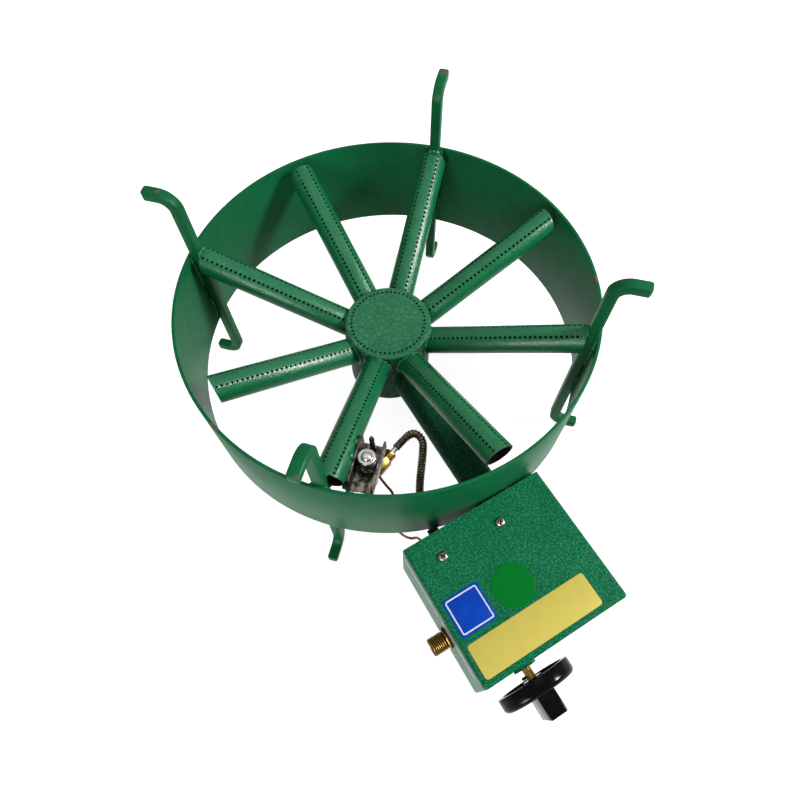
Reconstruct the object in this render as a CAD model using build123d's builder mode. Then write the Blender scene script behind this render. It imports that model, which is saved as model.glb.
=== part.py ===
"""Free-standing gas burner: drilled tubes round a hub, inside a wind ring on four bar legs.

Millimetres, +Z up, feet on z = 0, control box toward -Y. Every size below is counted from the
ring's axis. The finished pieces are moved together so that the origin is the middle of the
footprint.
"""

import os
from math import cos, pi, radians, sin, sqrt, tan

from build123d import *

# Clearances
weld_gap = 0.1  # between pieces that are welded together
fit_gap = 0.3  # between pieces that are put together by hand
run_gap = 0.06  # radial, between pieces that turn or slide in each other

# Wind ring
ring_outer_r = 200.0
ring_wall = 3.0
ring_height = 107.5
ring_top_z = 180.0
ring_inner_r = ring_outer_r - ring_wall
ring_bottom_z = ring_top_z - ring_height

# Legs
leg_bar = 10.0
leg_height = 257.2
leg_turns = (-0.6, -0.1, -1.2, 0.2)  # degrees off the even quarters, as welded by hand
leg_count = len(leg_turns)
tab_length = 27.4  # pan rest, from the upright's axis
foot_length = 26.4  # foot, from the upright's axis
tab_bend_r = 14.0
foot_bend_r = 14.5
leg_tip_r = 2.5
leg_half = leg_bar / 2
leg_axis_r = sqrt((ring_inner_r - weld_gap) ** 2 - leg_half**2) - leg_half

# Hub
drum_r = 43.0
drum_wall = 3.0
hub_top_z = 130.4
hub_bottom_z = 45.0
cap_thickness = 3.0
cap_edge_r = 2.0
base_thickness = 3.0
cap_port_circle_r = 37.0
cap_port_count = 52

# Burner tubes
tube_od = 26.9
tube_wall = 2.0
tube_rise = 21.6  # degrees above level, outwards
tube_root_z = 95.1  # height of a tube's axis at the ring's axis
long_tube_turns = (-0.5, -0.5, 0.0, 0.3)  # degrees off the even eighths, as welded by hand
short_tube_turns = (0.0, -0.8, 1.5, 0.4)
short_tube_gaps = (11.0, 11.0, 17.0, 11.0)  # from the ring to a short tube's end
plug_depth = 8.0  # along the tube's axis
plug_thickness = 3.0
port_d = 2.0
port_sides = 4
port_turn = 45.0  # square ports lie along the tube
port_pitch = 4.8  # nearly, since the ports are spread evenly
port_row_angle = 27.5  # each side of the tube's crest
port_root_margin = 2.8
port_end_margin = 3.2
tube_r = tube_od / 2
tube_bore_r = tube_r - tube_wall
long_tube_reach = leg_axis_r - leg_half - fit_gap

# Mixing pipe
pipe_od = 33.7
pipe_wall = 3.2
pipe_z = 74.0
pipe_mouth = 18.5  # how far it reaches into the box
pipe_r = pipe_od / 2
pipe_bore_r = pipe_r - pipe_wall

# Control box
box_gap = 2.0  # from the ring to the cover's rear edge
box_left_x = -102.0
box_width = 143.0
box_depth = 127.5
box_height = 76.0
box_bottom_z = 38.0
sheet = 1.5
bend_r = 3.0
rear_wall_inset = 1.5
flange_depth = 34.5
floor_rise = 1.0
base_inset = 1.6  # inside the cover's side walls
box_right_x = box_left_x + box_width
box_rear_y = -(ring_outer_r + box_gap)
box_front_y = box_rear_y - box_depth
box_top_z = box_bottom_z + box_height
rear_wall_y = box_rear_y - rear_wall_inset
screw_xs = (-75.0, -15.5)
screw_inset = 22.0  # from the cover's rear edge
screw_r = 2.0
screw_length = 8.0
screw_head_r = 4.3
screw_head_h = 2.6

# Bracket between ring and box
bracket_left_x = 12.0
bracket_width = 26.0
bracket_thickness = 3.0
bracket_drop = 9.0  # below the box's top

# Gas valve, with depths counted inwards from the front wall's outer face
valve_x = -58.0
valve_z = pipe_z
valve_r = 16.0
valve_shoulder_r = 11.0
valve_face_depth = 8.0
valve_rear_depth = 66.0
neck_r = 7.0
neck_out = 3.3
cavity_depth = 9.0
plug_r = 8.0
plug_start = 19.0
plug_length = 36.0
knob_travel = 4.0
plug_port_r = 4.0
plug_side_port_r = 3.0
spindle_r = 4.0
spindle_inner_depth = 28.0
spindle_outer = 34.0
collar_r = 6.5
collar_length = 2.5
spring_wall = 1.6
pin_r = 1.25
pin_length = 8.0
pin_out = 9.5
panel_nut_across = 19.0

# Knob
knob_r = 34.5
knob_gap = 12.5  # from the front wall to the knob's back
knob_disc = 13.0
knob_edge_r = 4.5
knob_recess_r = 29.0
knob_recess_depth = 6.0
knob_hub_r = 9.0
grip_width = 19.4
grip_tip_width = 16.6
grip_height = 38.0
grip_length = 20.0
grip_edge_r = 2.0
grip_root = 1.0  # of the grip, inside the disc

# Gas inlet, 3/8 inch male thread
inlet_depth = 50.5
inlet_r = 8.33
inlet_bore_r = 5.5
inlet_thread_length = 14.4
inlet_hex_across = 19.0
inlet_hex_length = 3.0
inlet_boss_r = 12.0
inlet_boss_length = 26.0
inlet_seat = 16.0  # from the valve's axis to the nipple's seat

# Outlet pipe and injector
outlet_depth = 36.0
outlet_r = 6.0
outlet_wall = 1.0
outlet_boss_r = 9.0
outlet_boss_length = 24.0
outlet_seat = 14.0
outlet_bend_r = 18.0
injector_across = 17.0
injector_socket = 5.0
injector_hex_length = 9.0
injector_nose_length = 10.0
injector_nose_r = 5.0
injector_tip_r = 3.0
injector_jet_r = 0.75
injector_gap = 6.0  # from the tip to the pipe's mouth

# Flame-failure magnet at the valve's rear
magnet_insert = 7.0
magnet_across = 18.0
magnet_hex_length = 6.0
magnet_stub_r = 5.0
magnet_stub_length = 6.0
lead_nut_across = 11.0
lead_nut_length = 8.0

# Pilot supply port, beside the valve's axis
pilot_port_x = -60.0
pilot_port_z = 54.0
pilot_boss_r = 7.0
pilot_boss_depth = 40.0
pilot_boss_length = 30.0
union_across = 13.0
union_length = 10.0

# Pilot burner, beside the tube that points at the front left leg
pilot_azimuth = 225.0 + long_tube_turns[2]
pilot_inset = 28.54  # from the end of that tube
pilot_beside = 24.95
pilot_drop = 153.66  # from the tube's axis to where the heights below are counted
plate = 2.0
pilot_floor_z = 136.0
bracket_half = 11.2
bracket_inner_x = -21.0
bracket_outer_x = 24.0
tube_flange_top_z = 158.0
free_flange_top_z = 152.0
tongue_x = 15.0
tongue_width = 18.0
tongue_bottom_z = 114.0
strap_thickness = 2.8
pilot_bolt_r = 3.0
pilot_bolt_z = 123.0
pilot_bolt_across = 10.0
pilot_bolt_head = 4.0
bolt_nut_height = 5.0
bolt_end = 1.0  # of the shank past its nut
pilot_body_r = 5.0
pilot_body_bottom_z = 102.0
pilot_block_r = 7.5
pilot_block_height = 16.0
pilot_hex_across = 14.0
pilot_hex_height = 5.0
pilot_spigot_r = 7.2
pilot_spigot_height = 6.0
pilot_nozzle_r = 3.0
pilot_nozzle_height = 6.0
pilot_locknut_height = 5.0
hood_r = 8.5
hood_top_z = 164.0
hood_edge_r = 2.6
hood_dome_r = 4.8
hood_dome_height = 2.6
hood_dome_edge_r = 2.4
hood_rim_z = hood_top_z - hood_dome_height
hood_slot_width = 8.0
hood_slot_height = 8.0
feed_z = 110.0
feed_turn = 155.0
feed_stub_r = 3.0
feed_across = 13.0
feed_hex_start = 7.7
feed_hex_length = 15.3
feed_nut_across = 10.0
feed_nut_length = 8.0

# Thermocouple
probe_x = -16.0
probe_r = 2.4
probe_top_z = 167.0
probe_bottom_z = 122.0
probe_nut_across = 10.0
probe_nut_height = 5.0
lead_r = 1.25
lead_entry_x = -74.0
lead_drop = 6.0  # straight below the probe
lead_leave_share = 0.457  # of the room between rear wall and nut, before the lead turns
lead_join_share = 0.718  # of that room, after the turn
grommet_r = 4.5
grommet_thickness = 1.6

# Bends in cords: the share of a run that a bend may take
bend_share = 0.45

# Pilot hose: ribbed metal, with plain tube ends
pilot_tube_r = 2.5
pilot_tube_wall = 0.75
hose_r = 4.0
hose_valley_r = 3.3
hose_bore_r = 2.8
hose_pitch = 2.6
hose_gap = 6.0  # from the feed nut to the hose
hose_straight = 13.0
hose_overlap = 5.0  # of a plain end in the hose
hose_steady = (0.4, 0.4, -0.82)  # never along the hose, so its rings don't twist
sleeve_r = 5.6
sleeve_length = 17.5
sleeve_flange_r = 8.0
sleeve_flange = 2.0

# The origin is the middle of the footprint
grip_end_y = box_front_y - knob_gap - knob_disc - grip_length
ring_axis_y = -(grip_end_y + ring_outer_r) / 2

os.makedirs("parts", exist_ok=True)


def save(piece, name):
    """Moves a finished piece into the part's frame and writes it."""
    placed = piece.moved(Location((0, ring_axis_y, 0)))
    placed.label = name
    export_step(placed, f"parts/{name}.step")


def rod(frame, radius, start, end):
    """A round bar along a frame's normal, between two distances from the frame."""
    with BuildPart() as bar:
        with BuildSketch(frame.offset(start)):
            Circle(radius)
        extrude(amount=end - start)
    return bar.part


def hexagon(frame, across, start, end):
    """A hexagon bar along a frame's normal, between two distances from the frame."""
    with BuildPart() as bar:
        with BuildSketch(frame.offset(start)):
            RegularPolygon(across / 2, 6, major_radius=False)
        extrude(amount=end - start)
    return bar.part


def slab(frame, low, high):
    """A square-edged block between two corners given in a frame."""
    with BuildPart(frame) as block:
        with Locations((Vector(*low) + Vector(*high)) / 2):
            Box(high[0] - low[0], high[1] - low[1], high[2] - low[2])
    return block.part


def corner_radii(points):
    """The largest bend at each inner point that its two runs leave room for."""
    radii = []
    for before, point, after in zip(points, points[1:], points[2:]):
        run_in = Vector(point) - Vector(before)
        run_out = Vector(after) - Vector(point)
        turn = radians(run_in.get_angle(run_out))
        radii.append(bend_share * min(run_in.length, run_out.length) / tan(turn / 2))
    return radii


# Frames that several pieces share
front = Plane(origin=(valve_x, box_front_y, valve_z), x_dir=(-1, 0, 0), z_dir=(0, 1, 0))
inlet_line = Plane(front.from_local_coords((0, 0, inlet_depth)), x_dir=(0, 1, 0), z_dir=(-1, 0, 0))
outlet_line = Plane(front.from_local_coords((0, 0, outlet_depth)), x_dir=(0, 1, 0), z_dir=(1, 0, 0))
pilot_port = Plane(origin=(pilot_port_x, box_front_y, pilot_port_z), x_dir=(-1, 0, 0), z_dir=(0, 1, 0))
pipe_line = Plane(origin=(0, 0, pipe_z), x_dir=(1, 0, 0), z_dir=(0, -1, 0))
tube_line = Plane(
    origin=(0, 0, tube_root_z),
    x_dir=(0, 1, 0),
    z_dir=(cos(radians(tube_rise)), 0, sin(radians(tube_rise))),
)
outward = Vector(1, 0, 0).rotate(Axis.Z, pilot_azimuth)
sideways = Vector(0, 1, 0).rotate(Axis.Z, pilot_azimuth)
pilot_along = long_tube_reach - pilot_inset
pilot_base_z = tube_root_z + pilot_along * tan(radians(tube_rise)) - pilot_drop
pilot_spot = outward * pilot_along + sideways * pilot_beside + Vector(0, 0, pilot_base_z)
pilot = Plane(pilot_spot, x_dir=outward, z_dir=(0, 0, 1))
feed_way = outward.rotate(Axis.Z, feed_turn)
feed_line = Plane(pilot.from_local_coords((0, 0, feed_z)), x_dir=(0, 0, 1), z_dir=feed_way)
bolt_line = Plane(
    pilot.from_local_coords((tongue_x, -bracket_half, pilot_bolt_z)),
    x_dir=(0, 0, 1),
    z_dir=sideways,
)
probe_line = Plane(pilot.from_local_coords((probe_x, 0, 0)), x_dir=outward, z_dir=(0, 0, 1))

# Wind ring: a rolled strip, notched over the mixing pipe
with BuildPart() as wind_ring:
    with BuildSketch(Plane.XY.offset(ring_bottom_z)):
        Circle(ring_outer_r)
        Circle(ring_inner_r, mode=Mode.SUBTRACT)
    extrude(amount=ring_height)
    add(rod(pipe_line, pipe_r + fit_gap, drum_r, ring_outer_r + ring_wall), mode=Mode.SUBTRACT)
save(wind_ring.part, "wind_ring")

# Legs: square bar with a pan rest bent out at the top and a foot at the bottom
with BuildPart() as leg:
    with BuildLine(Plane.XZ) as leg_path:
        FilletPolyline(
            (leg_axis_r + tab_length, leg_height - leg_half),
            (leg_axis_r, leg_height - leg_half),
            (leg_axis_r, leg_half),
            (leg_axis_r + foot_length, leg_half),
            radius=(tab_bend_r, foot_bend_r),
        )
    with BuildSketch(Plane(leg_path.line @ 0, x_dir=(0, 1, 0), z_dir=leg_path.line % 0)):
        Rectangle(leg_bar, leg_bar)
    sweep()
    upright_edges = leg.edges().filter_by(Axis.Z).group_by(Axis.Z)
    fillet(upright_edges[0] + upright_edges[-1], leg_tip_r)
for index, turn in enumerate(leg_turns):
    azimuth = 45 + 360 / leg_count * index + turn
    save(leg.part.rotate(Axis.Z, azimuth), f"leg_{index + 1}")

# Places of the burner tubes: name, azimuth and radius of the end
tube_kinds = (
    ("long_tube", 45, long_tube_turns, [long_tube_reach] * len(long_tube_turns)),
    ("short_tube", 0, short_tube_turns, [ring_inner_r - gap for gap in short_tube_gaps]),
)
tube_places = []
for kind, first_azimuth, turns, reaches in tube_kinds:
    for index, reach in enumerate(reaches):
        azimuth = first_azimuth + 360 / len(reaches) * index + turns[index]
        tube_places.append((f"{kind}_{index + 1}", azimuth, reach))

# Hub: drum, drilled cap and bottom plate
tube_bore = rod(tube_line, tube_bore_r, 0, drum_r * 2)
with BuildPart() as hub_drum:
    with BuildSketch(Plane.XY.offset(hub_bottom_z + base_thickness)):
        Circle(drum_r)
        Circle(drum_r - drum_wall, mode=Mode.SUBTRACT)
    extrude(amount=hub_top_z - cap_thickness - hub_bottom_z - base_thickness)
    for _, azimuth, _ in tube_places:
        add(tube_bore.rotate(Axis.Z, azimuth), mode=Mode.SUBTRACT)
    add(rod(pipe_line, pipe_bore_r, 0, drum_r * 2), mode=Mode.SUBTRACT)
save(hub_drum.part, "hub_drum")

with BuildPart() as hub_cap:
    with BuildSketch(Plane.XY.offset(hub_top_z - cap_thickness)):
        Circle(drum_r)
    extrude(amount=cap_thickness)
    fillet(hub_cap.edges().group_by(Axis.Z)[-1], cap_edge_r)
    with BuildSketch(Plane.XY.offset(hub_top_z)):
        with PolarLocations(cap_port_circle_r, cap_port_count):
            RegularPolygon(port_d / 2, port_sides)
    extrude(amount=-cap_thickness, mode=Mode.SUBTRACT)
save(hub_cap.part, "hub_cap")

with BuildPart() as hub_base:
    with BuildSketch(Plane.XY.offset(hub_bottom_z)):
        Circle(drum_r)
    extrude(amount=base_thickness)
save(hub_base.part, "hub_base")


# Burner tubes: coped on the drum, cut plumb outside, two rows of ports along the crest
def burner_tube(reach):
    """One tube that points along +X, cut plumb at a given radius."""
    row_shift = tube_r * cos(radians(port_row_angle)) * tan(radians(tube_rise))
    first = drum_r / cos(radians(tube_rise)) + row_shift + port_root_margin
    last = reach / cos(radians(tube_rise)) + row_shift - port_end_margin
    steps = round((last - first) / port_pitch)
    pitch = (last - first) / steps
    with BuildPart() as tube:
        with BuildSketch(tube_line):
            Circle(tube_r)
            Circle(tube_bore_r, mode=Mode.SUBTRACT)
        extrude(amount=(reach + tube_r) / cos(radians(tube_rise)))
        split(bisect_by=Plane(origin=(reach, 0, 0), z_dir=(-1, 0, 0)))
        add(rod(Plane.XY, drum_r + weld_gap, 0, ring_top_z), mode=Mode.SUBTRACT)
        for side in (-1, 1):
            lean = radians(port_row_angle) * side
            across = tube_line.y_dir * cos(lean) + tube_line.x_dir * sin(lean)
            with BuildSketch(Plane(tube_line.origin, x_dir=tube_line.z_dir, z_dir=across)):
                with Locations([(first + pitch * step, 0) for step in range(steps + 1)]):
                    RegularPolygon(port_d / 2, port_sides, rotation=port_turn)
            extrude(amount=tube_od, mode=Mode.SUBTRACT)
    return tube.part


for name, azimuth, reach in tube_places:
    save(burner_tube(reach).rotate(Axis.Z, azimuth), name)

# Plugs that close the tubes' outer ends
with BuildPart() as tube_plugs:
    for _, azimuth, reach in tube_places:
        plug_outer = reach / cos(radians(tube_rise)) - plug_depth
        plug = rod(tube_line, tube_bore_r - weld_gap, plug_outer - plug_thickness, plug_outer)
        add(plug.rotate(Axis.Z, azimuth))
save(tube_plugs.part, "tube_plugs")

# Mixing pipe: coped on the drum, open inside the box
with BuildPart() as mixing_pipe:
    with BuildSketch(pipe_line):
        Circle(pipe_r)
        Circle(pipe_bore_r, mode=Mode.SUBTRACT)
    extrude(amount=pipe_mouth - rear_wall_y)
    add(rod(Plane.XY, drum_r + weld_gap, 0, ring_top_z), mode=Mode.SUBTRACT)
save(mixing_pipe.part, "mixing_pipe")

# Control box cover: top, front and side walls folded from one sheet
with BuildPart() as box_cover:
    add(slab(Plane.XY, (box_left_x, box_front_y, box_bottom_z), (box_right_x, box_rear_y, box_top_z)))
    fillet(box_cover.edges().filter_by(Axis.Z).group_by(Axis.Y)[0], bend_r)
    outer_top = box_cover.edges().group_by(Axis.Z)[-1].group_by(Axis.Y)[:-1]
    fillet([edge for group in outer_top for edge in group], bend_r)
    rear_face = box_cover.faces().sort_by(Axis.Y)[-1]
    bottom_face = box_cover.faces().sort_by(Axis.Z)[0]
    offset(amount=-sheet, openings=[rear_face, bottom_face])
    add(rod(front, neck_r + fit_gap, -sheet, valve_face_depth), mode=Mode.SUBTRACT)
    add(rod(inlet_line, inlet_r + fit_gap, valve_r, box_width), mode=Mode.SUBTRACT)
    with BuildSketch(Plane.XY.offset(box_top_z)):
        with Locations([(x, box_rear_y - screw_inset) for x in screw_xs]):
            Circle(screw_r + fit_gap)
    extrude(amount=-sheet * 2, mode=Mode.SUBTRACT)
save(box_cover.part, "box_cover")

# Control box base: floor, rear wall and top flange folded from one sheet
base_left_x = box_left_x + sheet + base_inset
base_right_x = box_right_x - sheet - base_inset
floor_z = box_bottom_z + floor_rise
flange_top_z = box_top_z - sheet - weld_gap
with BuildPart() as box_base:
    with BuildSketch(Plane.YZ.offset(base_left_x)):
        with BuildLine():
            FilletPolyline(
                (box_front_y + sheet + fit_gap, floor_z + sheet / 2),
                (rear_wall_y - sheet / 2, floor_z + sheet / 2),
                (rear_wall_y - sheet / 2, flange_top_z - sheet / 2),
                (rear_wall_y - flange_depth, flange_top_z - sheet / 2),
                radius=bend_r,
            )
        trace(line_width=sheet)
    extrude(amount=base_right_x - base_left_x)
    add(rod(pipe_line, pipe_r + fit_gap, drum_r, pipe_mouth - rear_wall_y), mode=Mode.SUBTRACT)
    wall_line = Plane(origin=(0, rear_wall_y, pilot_port_z), x_dir=(1, 0, 0), z_dir=(0, -1, 0))
    with BuildSketch(wall_line):
        with Locations((pilot_port_x, 0)):
            Circle(sleeve_r + fit_gap)
        with Locations((lead_entry_x, 0)):
            Circle(grommet_r / 2 + fit_gap)
    extrude(amount=sheet * 2, mode=Mode.SUBTRACT)
    with BuildSketch(Plane.XY.offset(flange_top_z)):
        with Locations([(x, box_rear_y - screw_inset) for x in screw_xs]):
            Circle(screw_r + weld_gap)
    extrude(amount=-sheet * 2, mode=Mode.SUBTRACT)
save(box_base.part, "box_base")

# Cover screws
with BuildPart() as cover_screw:
    screw_line = Plane(origin=(0, box_rear_y - screw_inset, box_top_z))
    add(rod(screw_line, screw_head_r, weld_gap, screw_head_h))
    chamfer(cover_screw.edges().group_by(Axis.Z)[-1], screw_head_h / 3)
    add(rod(screw_line, screw_r, -screw_length, weld_gap))
with BuildPart() as cover_screws:
    for x in screw_xs:
        add(cover_screw.part.moved(Location((x, 0, 0))))
save(cover_screws.part, "cover_screws")

# Bracket welded between the ring and the box's rear wall
bracket_top_z = box_top_z - bracket_drop
with BuildPart() as ring_bracket:
    low = (bracket_left_x, rear_wall_y + weld_gap, bracket_top_z - bracket_thickness)
    high = (bracket_left_x + bracket_width, -ring_inner_r, bracket_top_z)
    add(slab(Plane.XY, low, high))
    add(rod(Plane.XY, ring_outer_r + weld_gap, 0, ring_top_z), mode=Mode.SUBTRACT)
save(ring_bracket.part, "ring_bracket")

# Valve body: cavity for the plug, neck through the front wall, inlet, outlet and pilot bosses
with BuildPart() as valve_body:
    add(rod(front, valve_r, valve_face_depth, valve_rear_depth))
    add(rod(front, valve_shoulder_r, sheet + weld_gap, valve_face_depth))
    add(rod(front, neck_r, -neck_out, sheet + weld_gap))
    add(rod(inlet_line, inlet_boss_r, 0, inlet_boss_length))
    add(rod(outlet_line, outlet_boss_r, 0, outlet_boss_length))
    add(rod(pilot_port, pilot_boss_r, pilot_boss_depth, pilot_boss_depth + pilot_boss_length))
    add(rod(front, plug_r + run_gap, cavity_depth, valve_rear_depth), mode=Mode.SUBTRACT)
    add(rod(front, spindle_r + run_gap, -neck_out, cavity_depth), mode=Mode.SUBTRACT)
    add(rod(inlet_line, inlet_r + run_gap, inlet_seat, inlet_boss_length), mode=Mode.SUBTRACT)
    add(rod(inlet_line, inlet_bore_r, 0, inlet_seat), mode=Mode.SUBTRACT)
    add(rod(outlet_line, outlet_r + run_gap, outlet_seat, outlet_boss_length), mode=Mode.SUBTRACT)
    add(rod(outlet_line, plug_port_r, 0, outlet_seat), mode=Mode.SUBTRACT)
    pilot_way_end = pilot_boss_depth + pilot_boss_length
    add(rod(pilot_port, pilot_tube_r + run_gap, pilot_boss_depth + sheet, pilot_way_end), mode=Mode.SUBTRACT)
save(valve_body.part, "valve_body")

# Valve plug: turns in the cavity, takes the spindle's end, ports its gas sideways and rearwards
with BuildPart() as valve_plug:
    add(rod(front, plug_r, plug_start, plug_start + plug_length))
    add(rod(front, spindle_r + run_gap, plug_start, spindle_inner_depth + knob_travel + fit_gap), mode=Mode.SUBTRACT)
    add(rod(front, plug_port_r, inlet_depth, plug_start + plug_length), mode=Mode.SUBTRACT)
    add(rod(inlet_line, plug_side_port_r, 0, plug_r * 2), mode=Mode.SUBTRACT)
save(valve_plug.part, "valve_plug")

# Spindle with its collar, the return spring behind the collar and the cross pin
pin_line = Plane(front.from_local_coords((0, 0, -pin_out)), x_dir=(0, 1, 0), z_dir=(-1, 0, 0))
collar_depth = cavity_depth + fit_gap
with BuildPart() as valve_spindle:
    add(rod(front, spindle_r, -spindle_outer, spindle_inner_depth))
    add(rod(front, collar_r, collar_depth, collar_depth + collar_length))
    add(rod(pin_line, pin_r + run_gap, -spindle_r, spindle_r), mode=Mode.SUBTRACT)
save(valve_spindle.part, "valve_spindle")

spring_start = collar_depth + collar_length + weld_gap
with BuildPart() as return_spring:
    add(rod(front, spindle_r + fit_gap + spring_wall, spring_start, plug_start - weld_gap))
    add(rod(front, spindle_r + fit_gap, spring_start, plug_start - weld_gap), mode=Mode.SUBTRACT)
save(return_spring.part, "return_spring")

with BuildPart() as spindle_pin:
    add(rod(pin_line, pin_r, -spindle_r, pin_length))
save(spindle_pin.part, "spindle_pin")

with BuildPart() as panel_nut:
    add(hexagon(front, panel_nut_across, -neck_out, -weld_gap))
    add(rod(front, neck_r + run_gap, -neck_out, 0), mode=Mode.SUBTRACT)
save(panel_nut.part, "panel_nut")

# Knob: hollow disc with an upright bar grip and a hub on the spindle
knob_face = -knob_gap - knob_disc
with BuildPart() as knob:
    add(rod(front, knob_r, knob_face, -knob_gap))
    fillet(knob.edges().group_by(Axis.Y)[0], knob_edge_r)
    add(rod(front, knob_recess_r, -knob_gap - knob_recess_depth, -knob_gap), mode=Mode.SUBTRACT)
    with BuildSketch(front.offset(knob_face + grip_root)):
        Rectangle(grip_width, grip_height)
    with BuildSketch(front.offset(knob_face - grip_length)):
        Rectangle(grip_tip_width, grip_height)
    loft()
    grip_edges = knob.faces().sort_by(Axis.Y)[0].edges()
    fillet(grip_edges, grip_edge_r)
    add(rod(front, knob_hub_r, knob_face, -knob_gap))
    add(rod(front, spindle_r + run_gap, -spindle_outer - fit_gap, -knob_gap), mode=Mode.SUBTRACT)
save(knob.part, "knob")

# Gas inlet nipple: threaded end, hexagon against the side wall, end seated in the valve
inlet_wall = valve_x - box_left_x + weld_gap
inlet_end = inlet_wall + inlet_hex_length + inlet_thread_length
with BuildPart() as inlet_nipple:
    add(hexagon(inlet_line, inlet_hex_across, inlet_wall, inlet_wall + inlet_hex_length))
    add(rod(inlet_line, inlet_r, inlet_seat + weld_gap, inlet_end))
    add(rod(inlet_line, inlet_bore_r, inlet_seat, inlet_end), mode=Mode.SUBTRACT)
save(inlet_nipple.part, "inlet_nipple")

# Injector on the pipe's axis, and the bent outlet pipe that carries it
jet_line = Plane(origin=(0, 0, pipe_z), x_dir=(1, 0, 0), z_dir=(0, 1, 0))
jet_tip_y = rear_wall_y - pipe_mouth - injector_gap
nose_y = jet_tip_y - injector_nose_length
hex_y = nose_y - injector_hex_length
with BuildPart() as injector:
    add(hexagon(jet_line, injector_across, hex_y, nose_y))
    with BuildSketch(jet_line.offset(nose_y)):
        Circle(injector_nose_r)
    with BuildSketch(jet_line.offset(jet_tip_y)):
        Circle(injector_tip_r)
    loft()
    add(rod(jet_line, outlet_r + run_gap, hex_y, hex_y + injector_socket), mode=Mode.SUBTRACT)
    add(rod(jet_line, injector_jet_r, hex_y, jet_tip_y), mode=Mode.SUBTRACT)
save(injector.part, "injector")

with BuildPart() as outlet_pipe:
    with BuildLine() as outlet_path:
        FilletPolyline(
            outlet_line.from_local_coords((0, 0, outlet_seat + weld_gap)),
            (0, outlet_line.origin.Y, pipe_z),
            (0, hex_y + injector_socket - weld_gap, pipe_z),
            radius=outlet_bend_r,
        )
    with BuildSketch(Plane(outlet_path.line @ 0, z_dir=outlet_path.line % 0)):
        Circle(outlet_r)
        Circle(outlet_r - outlet_wall, mode=Mode.SUBTRACT)
    sweep()
save(outlet_pipe.part, "outlet_pipe")

# Magnet unit screwed in the valve's rear, and the nut that holds the thermocouple lead to it
stub_start = valve_rear_depth + weld_gap + magnet_hex_length
stub_end = stub_start + magnet_stub_length
with BuildPart() as magnet_unit:
    add(rod(front, plug_r - weld_gap, valve_rear_depth - magnet_insert, valve_rear_depth + weld_gap))
    add(hexagon(front, magnet_across, valve_rear_depth + weld_gap, stub_start))
    add(rod(front, magnet_stub_r, stub_start, stub_end))
save(magnet_unit.part, "magnet_unit")

lead_nut_end = stub_end + weld_gap + lead_nut_length
with BuildPart() as thermocouple_nut:
    add(hexagon(front, lead_nut_across, stub_end + weld_gap, lead_nut_end))
    add(rod(front, lead_r + run_gap, stub_end, lead_nut_end), mode=Mode.SUBTRACT)
save(thermocouple_nut.part, "thermocouple_nut")

# Pilot bracket: a folded channel with a tongue, strapped under the burner tube
with BuildPart() as pilot_bracket:
    add(
        slab(
            pilot,
            (bracket_inner_x, -bracket_half, pilot_floor_z),
            (bracket_outer_x, bracket_half, pilot_floor_z + plate),
        )
    )
    add(
        slab(
            pilot,
            (bracket_inner_x, -bracket_half, pilot_floor_z),
            (bracket_outer_x, plate - bracket_half, tube_flange_top_z),
        )
    )
    add(
        slab(
            pilot,
            (bracket_inner_x, bracket_half - plate, pilot_floor_z),
            (bracket_outer_x, bracket_half, free_flange_top_z),
        )
    )
    add(
        slab(
            pilot,
            (tongue_x - tongue_width / 2, -bracket_half, tongue_bottom_z),
            (tongue_x + tongue_width / 2, plate - bracket_half, pilot_floor_z),
        )
    )
    add(rod(pilot, pilot_body_r + fit_gap, pilot_floor_z, hood_top_z), mode=Mode.SUBTRACT)
    add(rod(probe_line, probe_r + fit_gap, pilot_floor_z, hood_top_z), mode=Mode.SUBTRACT)
    add(rod(bolt_line, pilot_bolt_r + fit_gap, 0, plate), mode=Mode.SUBTRACT)
save(pilot_bracket.part, "pilot_bracket")

pilot_tube_line = rod(tube_line, tube_r + weld_gap, 0, pilot_along * 2).rotate(Axis.Z, pilot_azimuth)
strap_outer = strap_thickness + weld_gap
with BuildPart() as pilot_strap:
    add(
        slab(
            pilot,
            (tongue_x - tongue_width / 2, -bracket_half - strap_outer, tongue_bottom_z),
            (tongue_x + tongue_width / 2, -bracket_half - weld_gap, tube_flange_top_z),
        )
    )
    add(pilot_tube_line, mode=Mode.SUBTRACT)
    add(rod(bolt_line, pilot_bolt_r + fit_gap, -strap_outer, 0), mode=Mode.SUBTRACT)
save(pilot_strap.part, "pilot_strap")

nut_face = -strap_outer - weld_gap
with BuildPart() as pilot_bolt:
    add(hexagon(bolt_line, pilot_bolt_across, plate + weld_gap, plate + weld_gap + pilot_bolt_head))
    add(rod(bolt_line, pilot_bolt_r, nut_face - bolt_nut_height - bolt_end, plate + weld_gap))
save(pilot_bolt.part, "pilot_bolt")

with BuildPart() as pilot_bolt_nut:
    add(hexagon(bolt_line, pilot_bolt_across, nut_face - bolt_nut_height, nut_face))
    add(rod(bolt_line, pilot_bolt_r + run_gap, nut_face - bolt_nut_height, nut_face), mode=Mode.SUBTRACT)
save(pilot_bolt_nut.part, "pilot_bolt_nut")

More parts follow.
